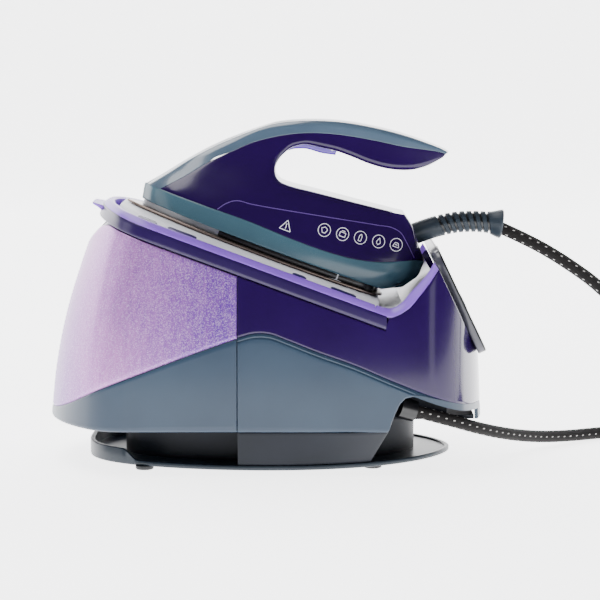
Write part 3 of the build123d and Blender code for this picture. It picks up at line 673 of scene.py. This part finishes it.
def nurbs_line(points):
    """Points read from a smooth curve with the given control points, evenly spread, in millimetres."""
    data = bpy.data.curves.new("hose_line", "CURVE")
    data.dimensions = "3D"
    spline = data.splines.new("NURBS")
    spline.points.add(len(points) - 1)
    for spot, place in zip(spline.points, points):
        spot.co = (*[v * MM for v in place], 1.0)
    spline.order_u = 3
    spline.use_endpoint_u = True
    spline.resolution_u = 12
    holder = bpy.data.objects.new("hose_line", data)
    mesh = bpy.data.meshes.new_from_object(holder)
    spots = np.zeros(len(mesh.vertices) * 3, dtype=np.float32)
    mesh.vertices.foreach_get("co", spots)
    bpy.data.objects.remove(holder)
    bpy.data.curves.remove(data)
    bpy.data.meshes.remove(mesh)
    line = spots.reshape(-1, 3).astype(float) / MM
    run = run_along(line)
    even = np.linspace(0, run[-1], int(run[-1] / 2.4))
    return between_points(line, run, even), even


hose_line, hose_run = nurbs_line(LOWER_ROUTE + coil_turns().tolist() + UPPER_ROUTE[::-1])
ROUND = 24
hose_uv = np.stack(np.broadcast_arrays(hose_run[:, None], np.arange(ROUND) / ROUND), -1)
hose = surface("steam_hose", tube(hose_line, HOSE_D / 2, ROUND), None, BRAID,
               ("hose_lower", "hose_coil", "hose_upper"), round_columns=True, uv=hose_uv)
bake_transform(hose)

# ---- water tank ----
TANK_END = SEAM_X - 0.4
TANK_BORDER = curved([(-190, 40), (-183, 42), (-169, 49), (-136, 68), (-89, 87), (-43, 104), (TANK_END, 111)])
TANK_TOP = curved([(-190, 96), (-172, 140), (-160, 164.5), (-151, 179), (-143, 189), (-136, 196),
                   (-128, 198.6)]
                  + [(x, seam(-0.4)(x)) for x in (-118, -100, -80, -60, -40, TANK_END)])
REAR_BORDER = curved([(SEAM_X, 112), (-8, 115.5), (4, 115), (18, 110), (41, 101), (72, 90), (103, 77),
                      (151, 58.5), (190, 46)])
HOUSING_TOP = straight([(SEAM_X, seam()(SEAM_X)), (98, seam()(98)), (98.6, 128.4), (101, 128), (109, 131),
                        (117, 136.5), (125, 146), (133, 156), (140, 166), (185.8, 70.7)])
LEVEL = straight([(SEAM_X, HOUSING_Z), (0, HOUSING_Z)])


def round_rear(start):
    """Columns that go from the near side's start round the rear to the far side's."""
    return lambda s, d, z: np.where(s < 0, -1, 1) * (REAR_GIRTH - np.abs(s) * (REAR_GIRTH - start(d, z)))


BRIGHT_EDGE = [(0, 3), (0, 1.3), (0.3, 1), (2.2, 0.15), (2.8, 0)]
FOOT_EDGE = [(0, 3), (0, 1.6), (0.6, 0.6), (1.8, 0)]
base_wall("water_tank", to_rear(TANK_END), span(TANK_BORDER, TANK_TOP, BRIGHT_EDGE, LOR, 40), 200, 120,
          "tank", TANK, ("tank_shell",))
base_wall("tank_bottom", to_rear(TANK_END), span(LEVEL, TANK_BORDER, FOOT_EDGE, LOR, 16), 200, 60,
          "tank", SLATE, ("tank_base",))
base_wall("rear_housing_shell", round_rear(lambda d, z: side_girth(SEAM_X + d, z)),
          span(REAR_BORDER, HOUSING_TOP, ROLL, LOR, 34), 300, 110, "base", PURPLE,
          ("rear_housing",))

core_x = np.linspace(-142, TANK_END - 1.2, 70)
core_top = np.stack([core_x, TANK_TOP(core_x) - 1.0], 1)
core_low = np.stack([core_x, 0 * core_x + HOUSING_Z + 1.2], 1)
surface("tank_core", band(core_top, core_low, lambda x, z: base_half(x, z, 2.4), upright, 1.0, 1.0), "tank",
        SLATE,
        round_rows=True)


def bay_wall():
    """Upright wall across the base behind the tank: rows follow the form's width, edges turn back."""
    z = np.concatenate([[38, 38], np.linspace(38.3, 156, 30), [156.5, 156.5]])[:, None]
    f = np.concatenate([[-1, -1], np.linspace(-0.997, 0.997, 30), [1, 1]])[None, :]
    back = np.zeros((len(z), f.shape[1]))
    back[0], back[-1], back[:, 0], back[:, -1] = 2.0, 2.0, 2.0, 2.0
    panel = 1.2 * ease(8, 0, np.abs(np.abs(f * 90) - 62)) * ease(60, 66, z) * ease(140, 134, z)
    return upright(SEAM_X + 1.0 + back + panel, f * base_half(SEAM_X + 0 * z, z, 3.2), z + 0 * f)


surface("tank_bay_wall", bay_wall(), "base", CHARCOAL)

# ---- lower rear housing and cord bays ----
BAY_INNER = 42.0
CORD_BAY = straight([(SEAM_X, HOUSING_Z), (99.5, HOUSING_Z), (103.5, 48), (108.3, 58.6), (113, 63.5),
                     (119, 64.8),
                     (126, 64.2), (141.4, 60.3), (190, 44.5)])
LIP_EDGE = [(5.2, 0), (4.4, 0.1), (3.6, 0.9), (3.2, 0.9), (2.4, 0.3), (0.5, 0.9), (0, 1.4), (0, 3)]


def bay_girth(z):
    """Girth of the bay's inner edge on the bowed rear."""
    *_, r1, _, _, _, _, a1 = base_sizes(z, 0.0)
    return REAR_GIRTH - (GIRTH[5] - GIRTH[4]) * np.arcsin(BAY_INNER / r1) / a1


def side_columns(side):
    """Columns of one side, from the seam to the cord bay's inner edge."""
    def girth(s, d, z):
        low, high = side_girth(SEAM_X + d, z), bay_girth(z)
        return side * (low + (high - low) * (s + 1) / 2)
    return girth


BAY_EDGE = [(0, 3), (0, 1.2), (0.4, 0.4), (1.4, 0)]
for side, name in SIDES:
    base_wall(f"lower_housing_{name}", side_columns(side),
              span(CORD_BAY, REAR_BORDER, BAY_EDGE, LIP_EDGE, 22),
              150, 60, "base", SLATE, ("lower_housing",) if side < 0 else ())
base_wall("lower_housing_rear", round_rear(lambda d, z: bay_girth(z)),
          span(LEVEL, REAR_BORDER, ROLL, LIP_EDGE, 16),
          40, 50, "base", SLATE)

# ---- foot tray, pedestal and side panels ----
TRAY_X, TRAY_LONG, TRAY_WIDE = 3.0, 152.0, 100.0


def tray_outline(inset, count=180):
    """Egg-shaped outline, fuller at the front: a cosine along, a power of a sine across."""
    turn = turns(count)
    across = np.sign(np.sin(turn)) * np.abs(np.sin(turn)) ** (0.925 - 0.225 * np.cos(turn))
    return TRAY_X - (TRAY_LONG - inset) * np.cos(turn), (TRAY_WIDE - inset) * across


def front_wall(x):
    """Height that the tray's lip gains towards the front."""
    return 9.0 * ease(104, 118, -x)


def tray_place(x, y, z):
    return upright(x, y, z + front_wall(x) * (z > 5.6))


surface("tray", stack(tray_outline, [(5, 3), (1.2, 3), (0.3, 3.4), (0, 4.2), (0, 6.3), (0.5, 6.9), (1.2, 7),
                                     (3.2, 7), (3.8, 6.6), (4, 5.5)], tray_place),
        "base", TRAY_SLATE, ("foot_tray",), round_columns=True)
surface("pedestal_drum", stack(tray_outline, [(30, 5.6), (30, 30), (29, 35.5)], upright), "base", CHARCOAL,
        ("pedestal",), round_columns=True)
UPPER = [(-172, 50), (-140, 98), (-40, 107.5), (28, 107.5), (84, 107.5), (150, 75)]
for side, name in SIDES:
    u = np.concatenate([[0, 0], np.linspace(0.008, 0.992, 60), [1, 1]])[None, :]
    thick = np.concatenate([[3, 0.6], np.zeros(60), [0.6, 3]])[None, :]
    v = np.concatenate([[0, 0], np.linspace(0.02, 0.98, 14), [1, 1]])[:, None]
    deep = np.concatenate([[3, 0.5], np.zeros(14), [0.5, 3]])[:, None]
    z = 7.2 + 28.4 * v
    x = SEAM_X + u * (86 + 14 * v - SEAM_X)
    outline_x, outline_y = tray_outline(1.0, 721)
    low_y = np.interp(x, outline_x[:360], outline_y[:360])
    high_y = smooth(UPPER, x)
    y = low_y + (high_y - low_y) * v - np.maximum(thick, deep)
    surface(f"side_skirt_{name}", upright(x, side * y, z), "base", CHARCOAL,
            (f"side_panel_{name}",),
            round_rows=True)
FOOT_R = 7.5


def foot_outline(inset):
    return -(FOOT_R - inset) * np.cos(turns(36)), (FOOT_R - inset) * np.sin(turns(36))


for k, place in enumerate(((-99, -75, 0), (-99, 75, 0), (88, -68, 0), (88, 68, 0))):
    foot = plate(foot_outline, [(2, 0), (0.8, 0), (0.1, 0.7), (0, 2.4), (0, 3.1)], upright)
    surface(f"foot_{k}", foot + place, "base", RUBBER, ("rubber_feet",) if k == 0 else (),
            round_columns=True)


def pebble(node):
    """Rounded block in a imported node's box: sines and cosines raised to a power, so that its faces flatten."""
    low, high = (np.array(corner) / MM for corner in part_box(node))
    up = np.linspace(-pi / 2, pi / 2, 20)[:, None]
    turn = turns(36)[None, :]
    bent = lambda v: np.sign(v) * np.abs(v) ** (2 / 3)
    unit = np.stack([bent(np.cos(up)) * bent(np.cos(turn)), bent(np.cos(up)) * bent(np.sin(turn)),
                     bent(np.sin(up)) + 0 * turn], -1)
    return (low + high) / 2 + unit * (high - low) / 2


surface("release_button", pebble("tank_release_button"), "tank_release_button", BLACK,
        ("tank_release_button",), round_columns=True)

# ---- rest: rim, beak, rear band and mat ----
RIM_REAR = 98.0
EDGE_REAR = 88.5
# Sections of the rim: lift over the housing's seam and inset from the form.
RIM_FACE_SECTION = [(0.6, 3), (0.6, 0.9), (0.9, 0.4), (1.4, 0.1), (4, 0), (8, 0), (10.4, 0),
                    (10.8, 0.3), (10.9, 3)]
RIM_EDGE_SECTION = [(10.9, 6), (10.9, 0.5), (11.2, 0.35), (11.6, 0.4), (13.6, 1.9), (15.2, 3.5), (15.8, 4.6),
                    (16, 6), (15.8, 7.8), (15.2, 8.8), (12, 9), (4, 9.2), (4, 8)]
base_wall("rim_face", to_rear(RIM_REAR), [(seam(lift), inset) for lift, inset in RIM_FACE_SECTION], 220, 160,
          "base", RIM_FACE, ("rest_frame",))
base_wall("rim_edge", to_rear(EDGE_REAR), [(seam(lift), inset) for lift, inset in RIM_EDGE_SECTION], 220, 160,
          "base", RIM_EDGE)


def rest_half(x, lift, inset):
    """Half width of the base's form at a place on the rest."""
    spot = on_rest(x, 0, lift)
    return base_half(spot[..., 0], spot[..., 2], inset)


def rest_sheet(x_low, x_high, lift, drop, inset, ribs=lambda x: 0 * x, slope=0.0):
    """Sheet across the rest that turns down at its edges by a given drop; ribs lift it by a function of x."""
    x = np.concatenate([[x_low, x_low, x_low + 0.4], np.linspace(x_low + 1.4, x_high - 1.4, 90),
                        [x_high - 0.4, x_high, x_high]])[None, :]
    f = np.concatenate([[-1, -1, -0.995], np.linspace(-0.985, 0.985, 61), [0.995, 1, 1]])[:, None]
    x_drop, f_drop = (np.concatenate([[drop, 1.4, 0.4], np.zeros(count), [0.4, 1.4, drop]])
                      for count in (90, 61))
    height = lift - slope * ease(0.8, 1.0, np.abs(f)) - np.maximum(x_drop, f_drop[:, None])
    height = height + ribs(x) * (np.abs(f) < 0.8)
    return on_rest(x + 0 * f, f * rest_half(x, lift, inset), height)


def mat_ribs(x):
    """Low ribs across the mat's rear end."""
    return 0.5 * ease(0.0, 0.3, np.sin(x * 2 * pi / 6.4)) * ease(58, 62, x)


MAT_LIFT, MAT_INSET, MAT_SLOPE = 17.2, 10.2, 3.4
surface("rest_floor", rest_sheet(-138, 92, 5.0, 1.5, 9.4), "base", RIM_FACE)
surface("rest_mat_pad", rest_sheet(-134, 93, MAT_LIFT, 7.0, MAT_INSET, mat_ribs, MAT_SLOPE), "base", MAT,
        ("rest_mat",))
SLOT_HALF = 3.2


def mat_slot(middle, long, side):
    """Dark capsule laid along the mat's turned-down edge: its width swells and closes as a half circle."""
    f = np.sin(np.linspace(-pi / 2, pi / 2, 40))
    across = np.linspace(-1, 1, 9)[:, None]
    past = ((np.abs(f) * long / 2 - long / 2 + SLOT_HALF) / SLOT_HALF).clip(0, 1)
    reach = SLOT_HALF * np.sqrt(np.maximum(1 - past ** 2, 0))[None, :]
    x = middle + f[None, :] * long / 2 + 0 * across
    share = 0.905 + across * reach / np.maximum(rest_half(x, 15.0, MAT_INSET), 20)
    height = MAT_LIFT - MAT_SLOPE * ease(0.8, 1.0, share) + 0.25 * (1 - across ** 4)
    face = on_rest(x, side * share * rest_half(x, MAT_LIFT, MAT_INSET), height)
    return np.concatenate([face, (face - on_rest(0, 0, 1.0) + on_rest(0, 0, 0))[::-1]])


for k, (middle, long) in enumerate(((-107, 17), (-77, 25), (24, 12), (62, 22))):
    for side, name in SIDES:
        surface(f"mat_slot_{name}_{k}", mat_slot(middle, long, side), "base", PADS,
                ("mat_pads",) if k == 0 and side < 0 else (), round_rows=True)

BEAK_TOP = [(-144.5, 215), (-140, 214), (-134, 212.2), (-128, 210.2), (-121, 207.5)]
BEAK_UNDER = [(-144.2, 213.2), (-139, 210.6), (-135.5, 207.4), (-131.5, 202.5), (-121, 200.5)]
beak_half = lambda x, z: 25.6 - 0 * x - 6.0 * ease(134, 146, -x) ** 2
surface("rest_beak", band(path(BEAK_TOP, 26), path(BEAK_UNDER, 26), beak_half, upright, 0.8, 0.8, 0.4),
        "carry_lock",
        RIM_EDGE, ("carry_lock",), round_rows=True)

RISE_LOW = [(86.5, 133.4), (94, 130.4), (101, 128.2), (109, 131), (117, 136.5), (125, 146), (133, 156),
            (139.5, 166)]
RISE_HIGH = [(90, 137.2), (96, 135.3), (101, 134.6), (106, 136.2), (110, 139.1), (117.4, 147.5),
             (124.8, 154.9),
             (131.2, 162.4), (136.5, 171)]
RAMP = [(84, 130), (96, 129.6), (106, 131.6), (114, 136.5), (122, 143.5), (130, 150.5), (138, 157)]


def rise_strip(side):
    """Band that climbs from the rim to the panel on the wall of the base, with a rolled section."""
    low, high = path(RISE_LOW, 60), path(RISE_HIGH, 60)
    section = [(0, 6), (0, 0.6), (0.06, 0.3), (0.15, 0.4), (0.6, 2.4), (0.9, 4.4), (1, 5.4), (1, 9)]
    grid = []
    for f, inset in section:
        spot = low + (high - low) * f
        grid.append(upright(spot[:, 0], side * base_half(spot[:, 0], spot[:, 1], inset), spot[:, 1]))
    return capped(np.stack(grid))


for side, name in SIDES:
    surface(f"rise_band_{name}", rise_strip(side), "base", RIM_EDGE,
            ("rim_riser",) if side < 0 else (), round_rows=True)

ramp_top = path(RAMP, 60)
for name, kept, finish in (("light", ramp_top[:, 0] < 112, MAT), ("dark", ramp_top[:, 0] > 111.5, RIM_FACE)):
    ramp_part = ramp_top[kept]
    surface(f"heel_ramp_{name}", band(ramp_part, ramp_part - (0, 2.5), lambda x, z: base_half(x, z, 5.6),
                                      upright,
                                      0.6, 0.6), "base", finish, round_rows=True)

# ---- control panel ----
PANEL_AT = np.array((161.9, 0, 136.8))
PANEL_UP = np.array((-0.4314, 0, 0.902))
PANEL_OUT = np.array((0.902, 0, 0.4314))
BUTTONS = {"power_button": (0, -34, 9), "steam_up_button": (20, -6, 7), "steam_down_button": (-20, -6, 7),
           "eco_button": (0, 4, 6), "descale_cap": (0, 34, 10)}


def panel_place(x, y, out):
    """Places on the panel: across it, up its slope and out of its face."""
    x, y, out = np.broadcast_arrays(x, y, out)
    return PANEL_AT + x[..., None] * np.array((0, 1, 0)) + y[..., None] * PANEL_UP + out[..., None] * PANEL_OUT


def rounded_plate(half_w, half_l, corner, centre=(0, 0), count=96):
    """Rectangle with round corners: corner circles pushed apart, even in angle."""
    angle = turns(count) + pi / count

    def outline(inset):
        r = max(corner - inset, 0.05)
        return (centre[0] + np.sign(np.cos(angle)) * (half_w - corner) + r * np.cos(angle),
                centre[1] + np.sign(np.sin(angle)) * (half_l - corner) + r * np.sin(angle))
    return outline


panel_outline = rounded_plate(66, 46.5, 14)
surface("panel_back", plate(panel_outline, [(3, -7), (0.8, -7), (0, -6.2), (0, -1.6)], panel_place),
        "base", PANEL_GREY, ("control_panel",), round_columns=True)
surface("panel_face", plate(panel_outline, [(0.5, -1.6), (0, -1.4), (0, -0.5), (0.5, 0), (1.4, 0.1)],
                            panel_place),
        "base", FASCIA, ("panel_fascia",), round_columns=True)
surface("display_window", plate(rounded_plate(20, 5, 3, (0, 19)), [(0, 0), (0, 0.2), (0.5, 0.35)],
                                panel_place),
        "base", LENS, ("display_lens",), round_columns=True)
for name, (bx, by, radius) in BUTTONS.items():
    disc = rounded_plate(radius, radius, radius, (bx, by), 48)
    surface(f"{name}_top", plate(disc, [(0, 0), (0, 0.6), (0.3, 0.95), (1, 1.05), (2.6, 0.8), (3.6, 0.7)],
                                 panel_place), name, BUTTON, (name,), round_columns=True)

# ---- iron ----
SOLE_L, SOLE_HALF = 226.0, 58.0


def sole_outline(inset):
    """Boat outline once round, drawn in by an inset that counts more at the nose."""
    start = inset * 1.6
    line = SOLE_LINE[::3]
    whole = np.concatenate([line, line[-2:0:-1] * (1, -1)])
    return start + whole[:, 0] * (SOLE_L - inset - start), whole[:, 1] * (SOLE_HALF - inset)


surface("sole", stack(sole_outline, [(3, 0), (0.5, 0), (0.1, 0.3), (0, 0.8), (0, 1.5), (0.3, 1.9), (0.8, 2),
                                     (5, 2)], on_iron), "iron", SOLE_EDGE, ("soleplate",),
        round_columns=True)


def heat_outline(inset):
    """Sole's outline with its nose drawn back, so that the dark band starts behind the tip."""
    x, y = sole_outline(inset)
    return 19 + (x - 2) * (SOLE_L - 19) / SOLE_L, y * (1 - 0.25 * ease(90, 0, x))


surface("heat_band", stack(heat_outline, [(5, 2), (3.4, 2), (3, 2.4), (3, 6.9), (3.4, 7.3), (5, 7.3)],
                           on_iron),
        "iron", BLACK, ("heat_shield",), round_columns=True)

SKIRT_TOP = [(-5, 19.6), (24, 20.3), (68, 21.6), (96, 22.4), (145, 21.2), (173, 21.5), (198, 24), (216, 28.5),
             (240, 37.5), (258, 40)]
SKIRT_LOW = straight([(-5, 6.5), (16, 6.5), (34, 7), (224, 7), (242, 13), (252.5, 29), (257, 34), (260, 35)])
ring = [(s, 0, 0) for s in np.linspace(-1, 1, 321)[:-1]]
skirt_rows = span(SKIRT_LOW, curved(SKIRT_TOP), [(0, 3), (0, 0.8), (0.3, 0.25), (0.9, 0)],
                  [(0.7, 0), (0.25, 0.2), (0, 0.7), (0, 3)], 14)


def skirt_point(s, h, inset=0.0):
    """Iron's form with its nose drawn back towards the sole, so that the sole's tip stands alone."""
    x, y = iron_point(s, h, inset)
    return x + 0.62 * np.maximum(0, 20 - h) * ease(60, 0, x), y


sx, sy, sz = wall(skirt_point, lambda s, d, z: s + 0 * z, skirt_rows, ring, 15)
surface("iron_skirt", on_iron(sx, sy, sz), "iron", SKIRT_SLATE, ("skirt",), round_rows=True,
        round_columns=True)

TOP_LINE = [(11.4, 19.95), (23.1, 34), (36.5, 50.8), (50.5, 66), (64.8, 79.8), (84.7, 96.9), (100, 106.9),
            (123.6, 117.1), (148.2, 124.5), (173.8, 129.1), (200.2, 131.7), (227.4, 131.9), (238.4, 130.8)]
COVER_EDGE = [(23.4, 20.3), (37.8, 35.9), (51.9, 52.9), (57.8, 60.7), (68.9, 70), (81.9, 82.2), (103.8, 96.7),
              (127, 107.2), (151.7, 114.2), (177, 118.8), (202.8, 122.5), (228, 127.8), (237, 128.6)]
# Pairs of an outer and an inner point of the body's C, from the lower rear round the throat to the tail.
BODY_OUT = [(240, 37.5), (216, 28.5), (198, 24), (173, 21.5), (145, 21.2), (118, 22), (96, 22.4), (60, 21.4),
            (23.4, 20.3), (37.8, 35.9), (51.9, 52.9), (68.9, 70), (81.9, 82.2), (92, 89.6), (103.8, 96.7),
            (115, 102.5),
            (127, 107.2), (139, 111), (151.7, 114.2), (164, 116.7), (177, 118.8), (190, 120.5),
            (202.8, 122.5),
            (215, 125.2), (228, 127.8), (237, 128.6)]
BODY_IN = [(211, 69.1), (196, 67.5), (183, 66.2), (169.6, 64.9), (143.1, 62.3), (130, 60.8), (121, 60.3),
           (115, 60.9), (111, 63.2), (108.6, 66.5), (107.4, 70), (107.3, 74), (108.6, 79.5), (111, 84.5),
           (114.1, 89.2),
           (118.6, 93), (125, 96.2), (138.5, 98.2), (150.3, 99.6), (163.9, 99.7), (177.8, 99.2),
           (191.2, 99.9),
           (203.9, 102.4), (215.9, 106.9), (226.8, 114.6), (235.5, 124.6)]


def paired(points, per=10):
    """Line through points with the same number of steps between each two, so that two lines stay in pairs."""
    points = np.array(points, float)
    at = np.linspace(0, len(points) - 1, (len(points) - 1) * per + 1)
    steps = np.arange(len(points))
    return np.stack([smooth(np.stack([steps, column], 1), at) for column in points.T], 1)


def trigger_pocket(x):
    """Depth of the trigger's pocket under the handle."""
    return 5.0 * ease(107, 112, x) * (1 - ease(150, 153, x))


BODY_STEPS = 12
body_out, body_in = paired(BODY_OUT, BODY_STEPS), paired(BODY_IN, BODY_STEPS)
for k in (7, 8):                # straight runs into the corner at the nose and out of it
    start, stop = np.array(BODY_OUT[k:k + 2])
    body_out[k * BODY_STEPS:(k + 1) * BODY_STEPS + 1] = start + (stop - start) * np.linspace(
        0, 1, BODY_STEPS + 1)[:, None]
in_handle = np.arange(len(body_in)) > 12 * BODY_STEPS
surface("iron_body", band(body_out, body_in, iron_half, on_iron, 0.5, 5.0,
                          pocket=lambda x: trigger_pocket(x) * in_handle), "iron", PURPLE,
        ("body_shell",), round_rows=True)
surface("handle_strip", band(paired(TOP_LINE), paired(COVER_EDGE), iron_half, on_iron, 6.5, 0.5, 1.2), "iron",
        STRIP_SLATE, ("handle_cover",), round_rows=True)

REAR_OUT = [(208.6, 68.2), (217.4, 59.8), (225.6, 51.2), (232.4, 44.4), (239.2, 37.6)]
REAR_IN = [(222, 70.3), (231, 63.4), (237, 56), (243, 48.5), (251, 39.4)]
surface("heel_cover", band(paired(REAR_OUT, 8), paired(REAR_IN, 8), lambda x, h: iron_half(x, h, 0.12),
                           on_iron,
                           0.6, 3.0), "iron", PURPLE, ("rear_cover",), round_rows=True)

TRIGGER_LOW = [(111.3, 85.5), (114, 87), (117.5, 89.3), (126.6, 92.6), (139.5, 93.6), (151, 96)]
TRIGGER_HIGH = [(111.4, 88.5), (113.5, 91.5), (117, 95), (128, 99.2), (139.5, 101), (151, 102.3)]
surface("trigger_key", band(paired(TRIGGER_HIGH), paired(TRIGGER_LOW), lambda x, z: 7.9 + 0 * x, on_iron,
                            0.8, 2.2),
        "trigger", TRIGGER, ("trigger",), round_rows=True)


# ---- inset panel and icons on the near side ----
PRINT_LIFT, PRINT_ROOT = 0.14, -0.3


def on_side(points, lift):
    """Side-view points of the iron laid on its near wall and lifted off it by a little."""
    x, h = points.T
    return on_iron(x, -iron_half(x, h) - lift, h)


def ribbon(name, points, width, lift=PRINT_LIFT, finish=PRINT, closed=False):
    """Flat strip of even width along a line on the iron's near side."""
    ahead = np.gradient(points, axis=0)
    if closed:
        ahead = np.roll(points, -1, 0) - np.roll(points, 1, 0)
    ahead /= np.maximum(np.linalg.norm(ahead, axis=1)[:, None], 1e-9)
    across = np.stack([-ahead[:, 1], ahead[:, 0]], 1) * width / 2
    grid = np.stack([on_side(points - across, lift), on_side(points + across, lift),
                     on_side(points + across, PRINT_ROOT), on_side(points - across, PRINT_ROOT)])
    surface(name, grid, "iron", finish, round_rows=True, round_columns=closed)


INSET_TOP = [(73.9, 22.5), (79.3, 29.5), (85.3, 33.9), (98.8, 36), (150.6, 45.5), (202.9, 55), (215, 57),
             (223, 55.5), (230, 50), (240.5, 40)]
# Painted highlight: a thin light lilac ribbon laid just off the near side, standing in for light caught on the
# inset's edge.
ribbon("inset_edge_highlight", path(INSET_TOP, 160), 0.7, 0.12, INSET_EDGE_HIGHLIGHT)
RING_R = 5.1
ring_line = RING_R * np.stack([np.cos(turns(48)), np.sin(turns(48))], 1)
ICONS = [(162.4, 37), (177.7, 38.9), (192.5, 41.1), (207.8, 43.1), (222.6, 45.3)]
GLYPHS = [[[(-2.6, 1), (-1.2, -2.2), (1.2, -2.2), (2.6, 1), (0, 2.6), (-2.6, 1)]],
          [[(-2.4, -2), (2.4, -2), (2.4, 1.4), (-2.4, 1.4), (-2.4, -2)], [(-1.4, 2.6), (1.4, 2.6)]],
          [[(-1.1, -2.8), (1.1, -2.8), (1.1, 1.2), (0, 3), (-1.1, 1.2), (-1.1, -2.8)]],
          [[(0, -2.8), (1.8, -0.8), (0, 3), (-1.8, -0.8), (0, -2.8)]],
          [[(-2.6, -1.8), (2.6, -1.8), (1.4, 1.6), (-1.4, 1.6), (-2.6, -1.8)], [(-1, 0), (1, 0)]]]
for k, (centre, glyph) in enumerate(zip(ICONS, GLYPHS)):
    ribbon(f"icon_ring_{k}", centre + ring_line, 0.48, closed=True)
    for j, line in enumerate(glyph):
        ribbon(f"icon_sign_{k}_{j}", path(np.array(line) + centre, 40, False), 0.5)
triangle = np.array([(-5, -3.6), (5, -3.6), (0, 5), (-5, -3.6)]) * 0.95 + (131.7, 29.6)
ribbon("warning_triangle", path(triangle, 60, False), 0.6)
mark = np.array([(0, -1.8), (0.2, 0.2), (-0.2, 1.2), (0.1, 2.4)]) + (131.7, 29.2)
ribbon("warning_mark", path(mark, 20, False), 0.6)

# ---- boot ----
BOOT_LINE = [(116, 0, 183), (128, 0, 188), (144, 0, 193.2), (160, 0, 196.5), (175, 0, 197.2), (187, 0, 196.4),
             (198.6, 0, 195)]
BOOT_R, BOOT_FLARE, BOOT_SHADE_CORE_R = 9.0, 3.3, 7.3
GAPS, GAP_PITCH, GAP_START, GAP_DEEP = 8, 5.6, 29.0, 2.6
BOOT_HOLE = np.array((198.6, 0, 192.2))
HOLE_DEEP = np.array((0.915, 0, -0.404)) * 6
boot_line = path(BOOT_LINE, 320)


def boot_surface():
    """Strain relief: a tube with slanting gaps that dip under a black core tube, which paints the shade deep in
    the gaps, then a smooth flare with a rolled end.

    The radius is a steady one plus an eased flare, less each gap: a smooth step in the run plus a cosine."""
    run = run_along(boot_line)
    s = run[:, None]
    phase = (s - 2.0 * np.cos(turns(40)) - GAP_START) / GAP_PITCH
    gap = ease(0.62, 0.70, phase % 1) * (1 - ease(0.92, 1.0, phase % 1)) * (phase > 0) * (phase < GAPS)
    rolled = 1.2 * ease(run[-1] - 1.4, run[-1], s) ** 2
    grid = tube(boot_line, BOOT_R + BOOT_FLARE * ease(69, 85, s) ** 1.5 - GAP_DEEP * gap - rolled, 40)
    hole = BOOT_HOLE + (grid[-1] - boot_line[-1]) * (5.4 / 11.1)
    start, finish = (np.repeat(spot[None, None], 40, 1) for spot in (boot_line[0], BOOT_HOLE - HOLE_DEEP))
    return np.concatenate([start, grid, hole[None], (hole - HOLE_DEEP)[None], finish])


surface("hose_sleeve", boot_surface(), "iron", SLATE_DARK, ("hose_boot",), round_columns=True)
# Painted shade: a black tube inside the sleeve, seen at the bottoms of the gaps as their shade.
surface("hose_sleeve_shade_core", tube(boot_line[6:286], BOOT_SHADE_CORE_R, 32), "iron", BLACK,
        round_columns=True)

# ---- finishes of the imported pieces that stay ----
KEPT = ((CHARCOAL, "base_deck cord_bay_near cord_bay_far"),
        (BLACK, "hose_gland mains_gland tank_filler_cap tank_valve tank_socket"),
        (STEEL, "boiler_vessel boiler_stand boiler_heater base_screws heating_element trigger_pin steam_pipe"
                " iron_screws"),
        (BRASS, "pressure_thermostat steam_valve"), (ALUMINIUM, "sole_casting steam_chamber_cover"),
        (INNER, "water_pump trigger_switch thermal_fuse"), (BOARD, "control_board"))
for finish, names in KEPT:
    for name in names.split():
        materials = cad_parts[name].data.materials
        if not materials:
            materials.append(finish)
        for k in range(len(materials)):
            materials[k] = finish
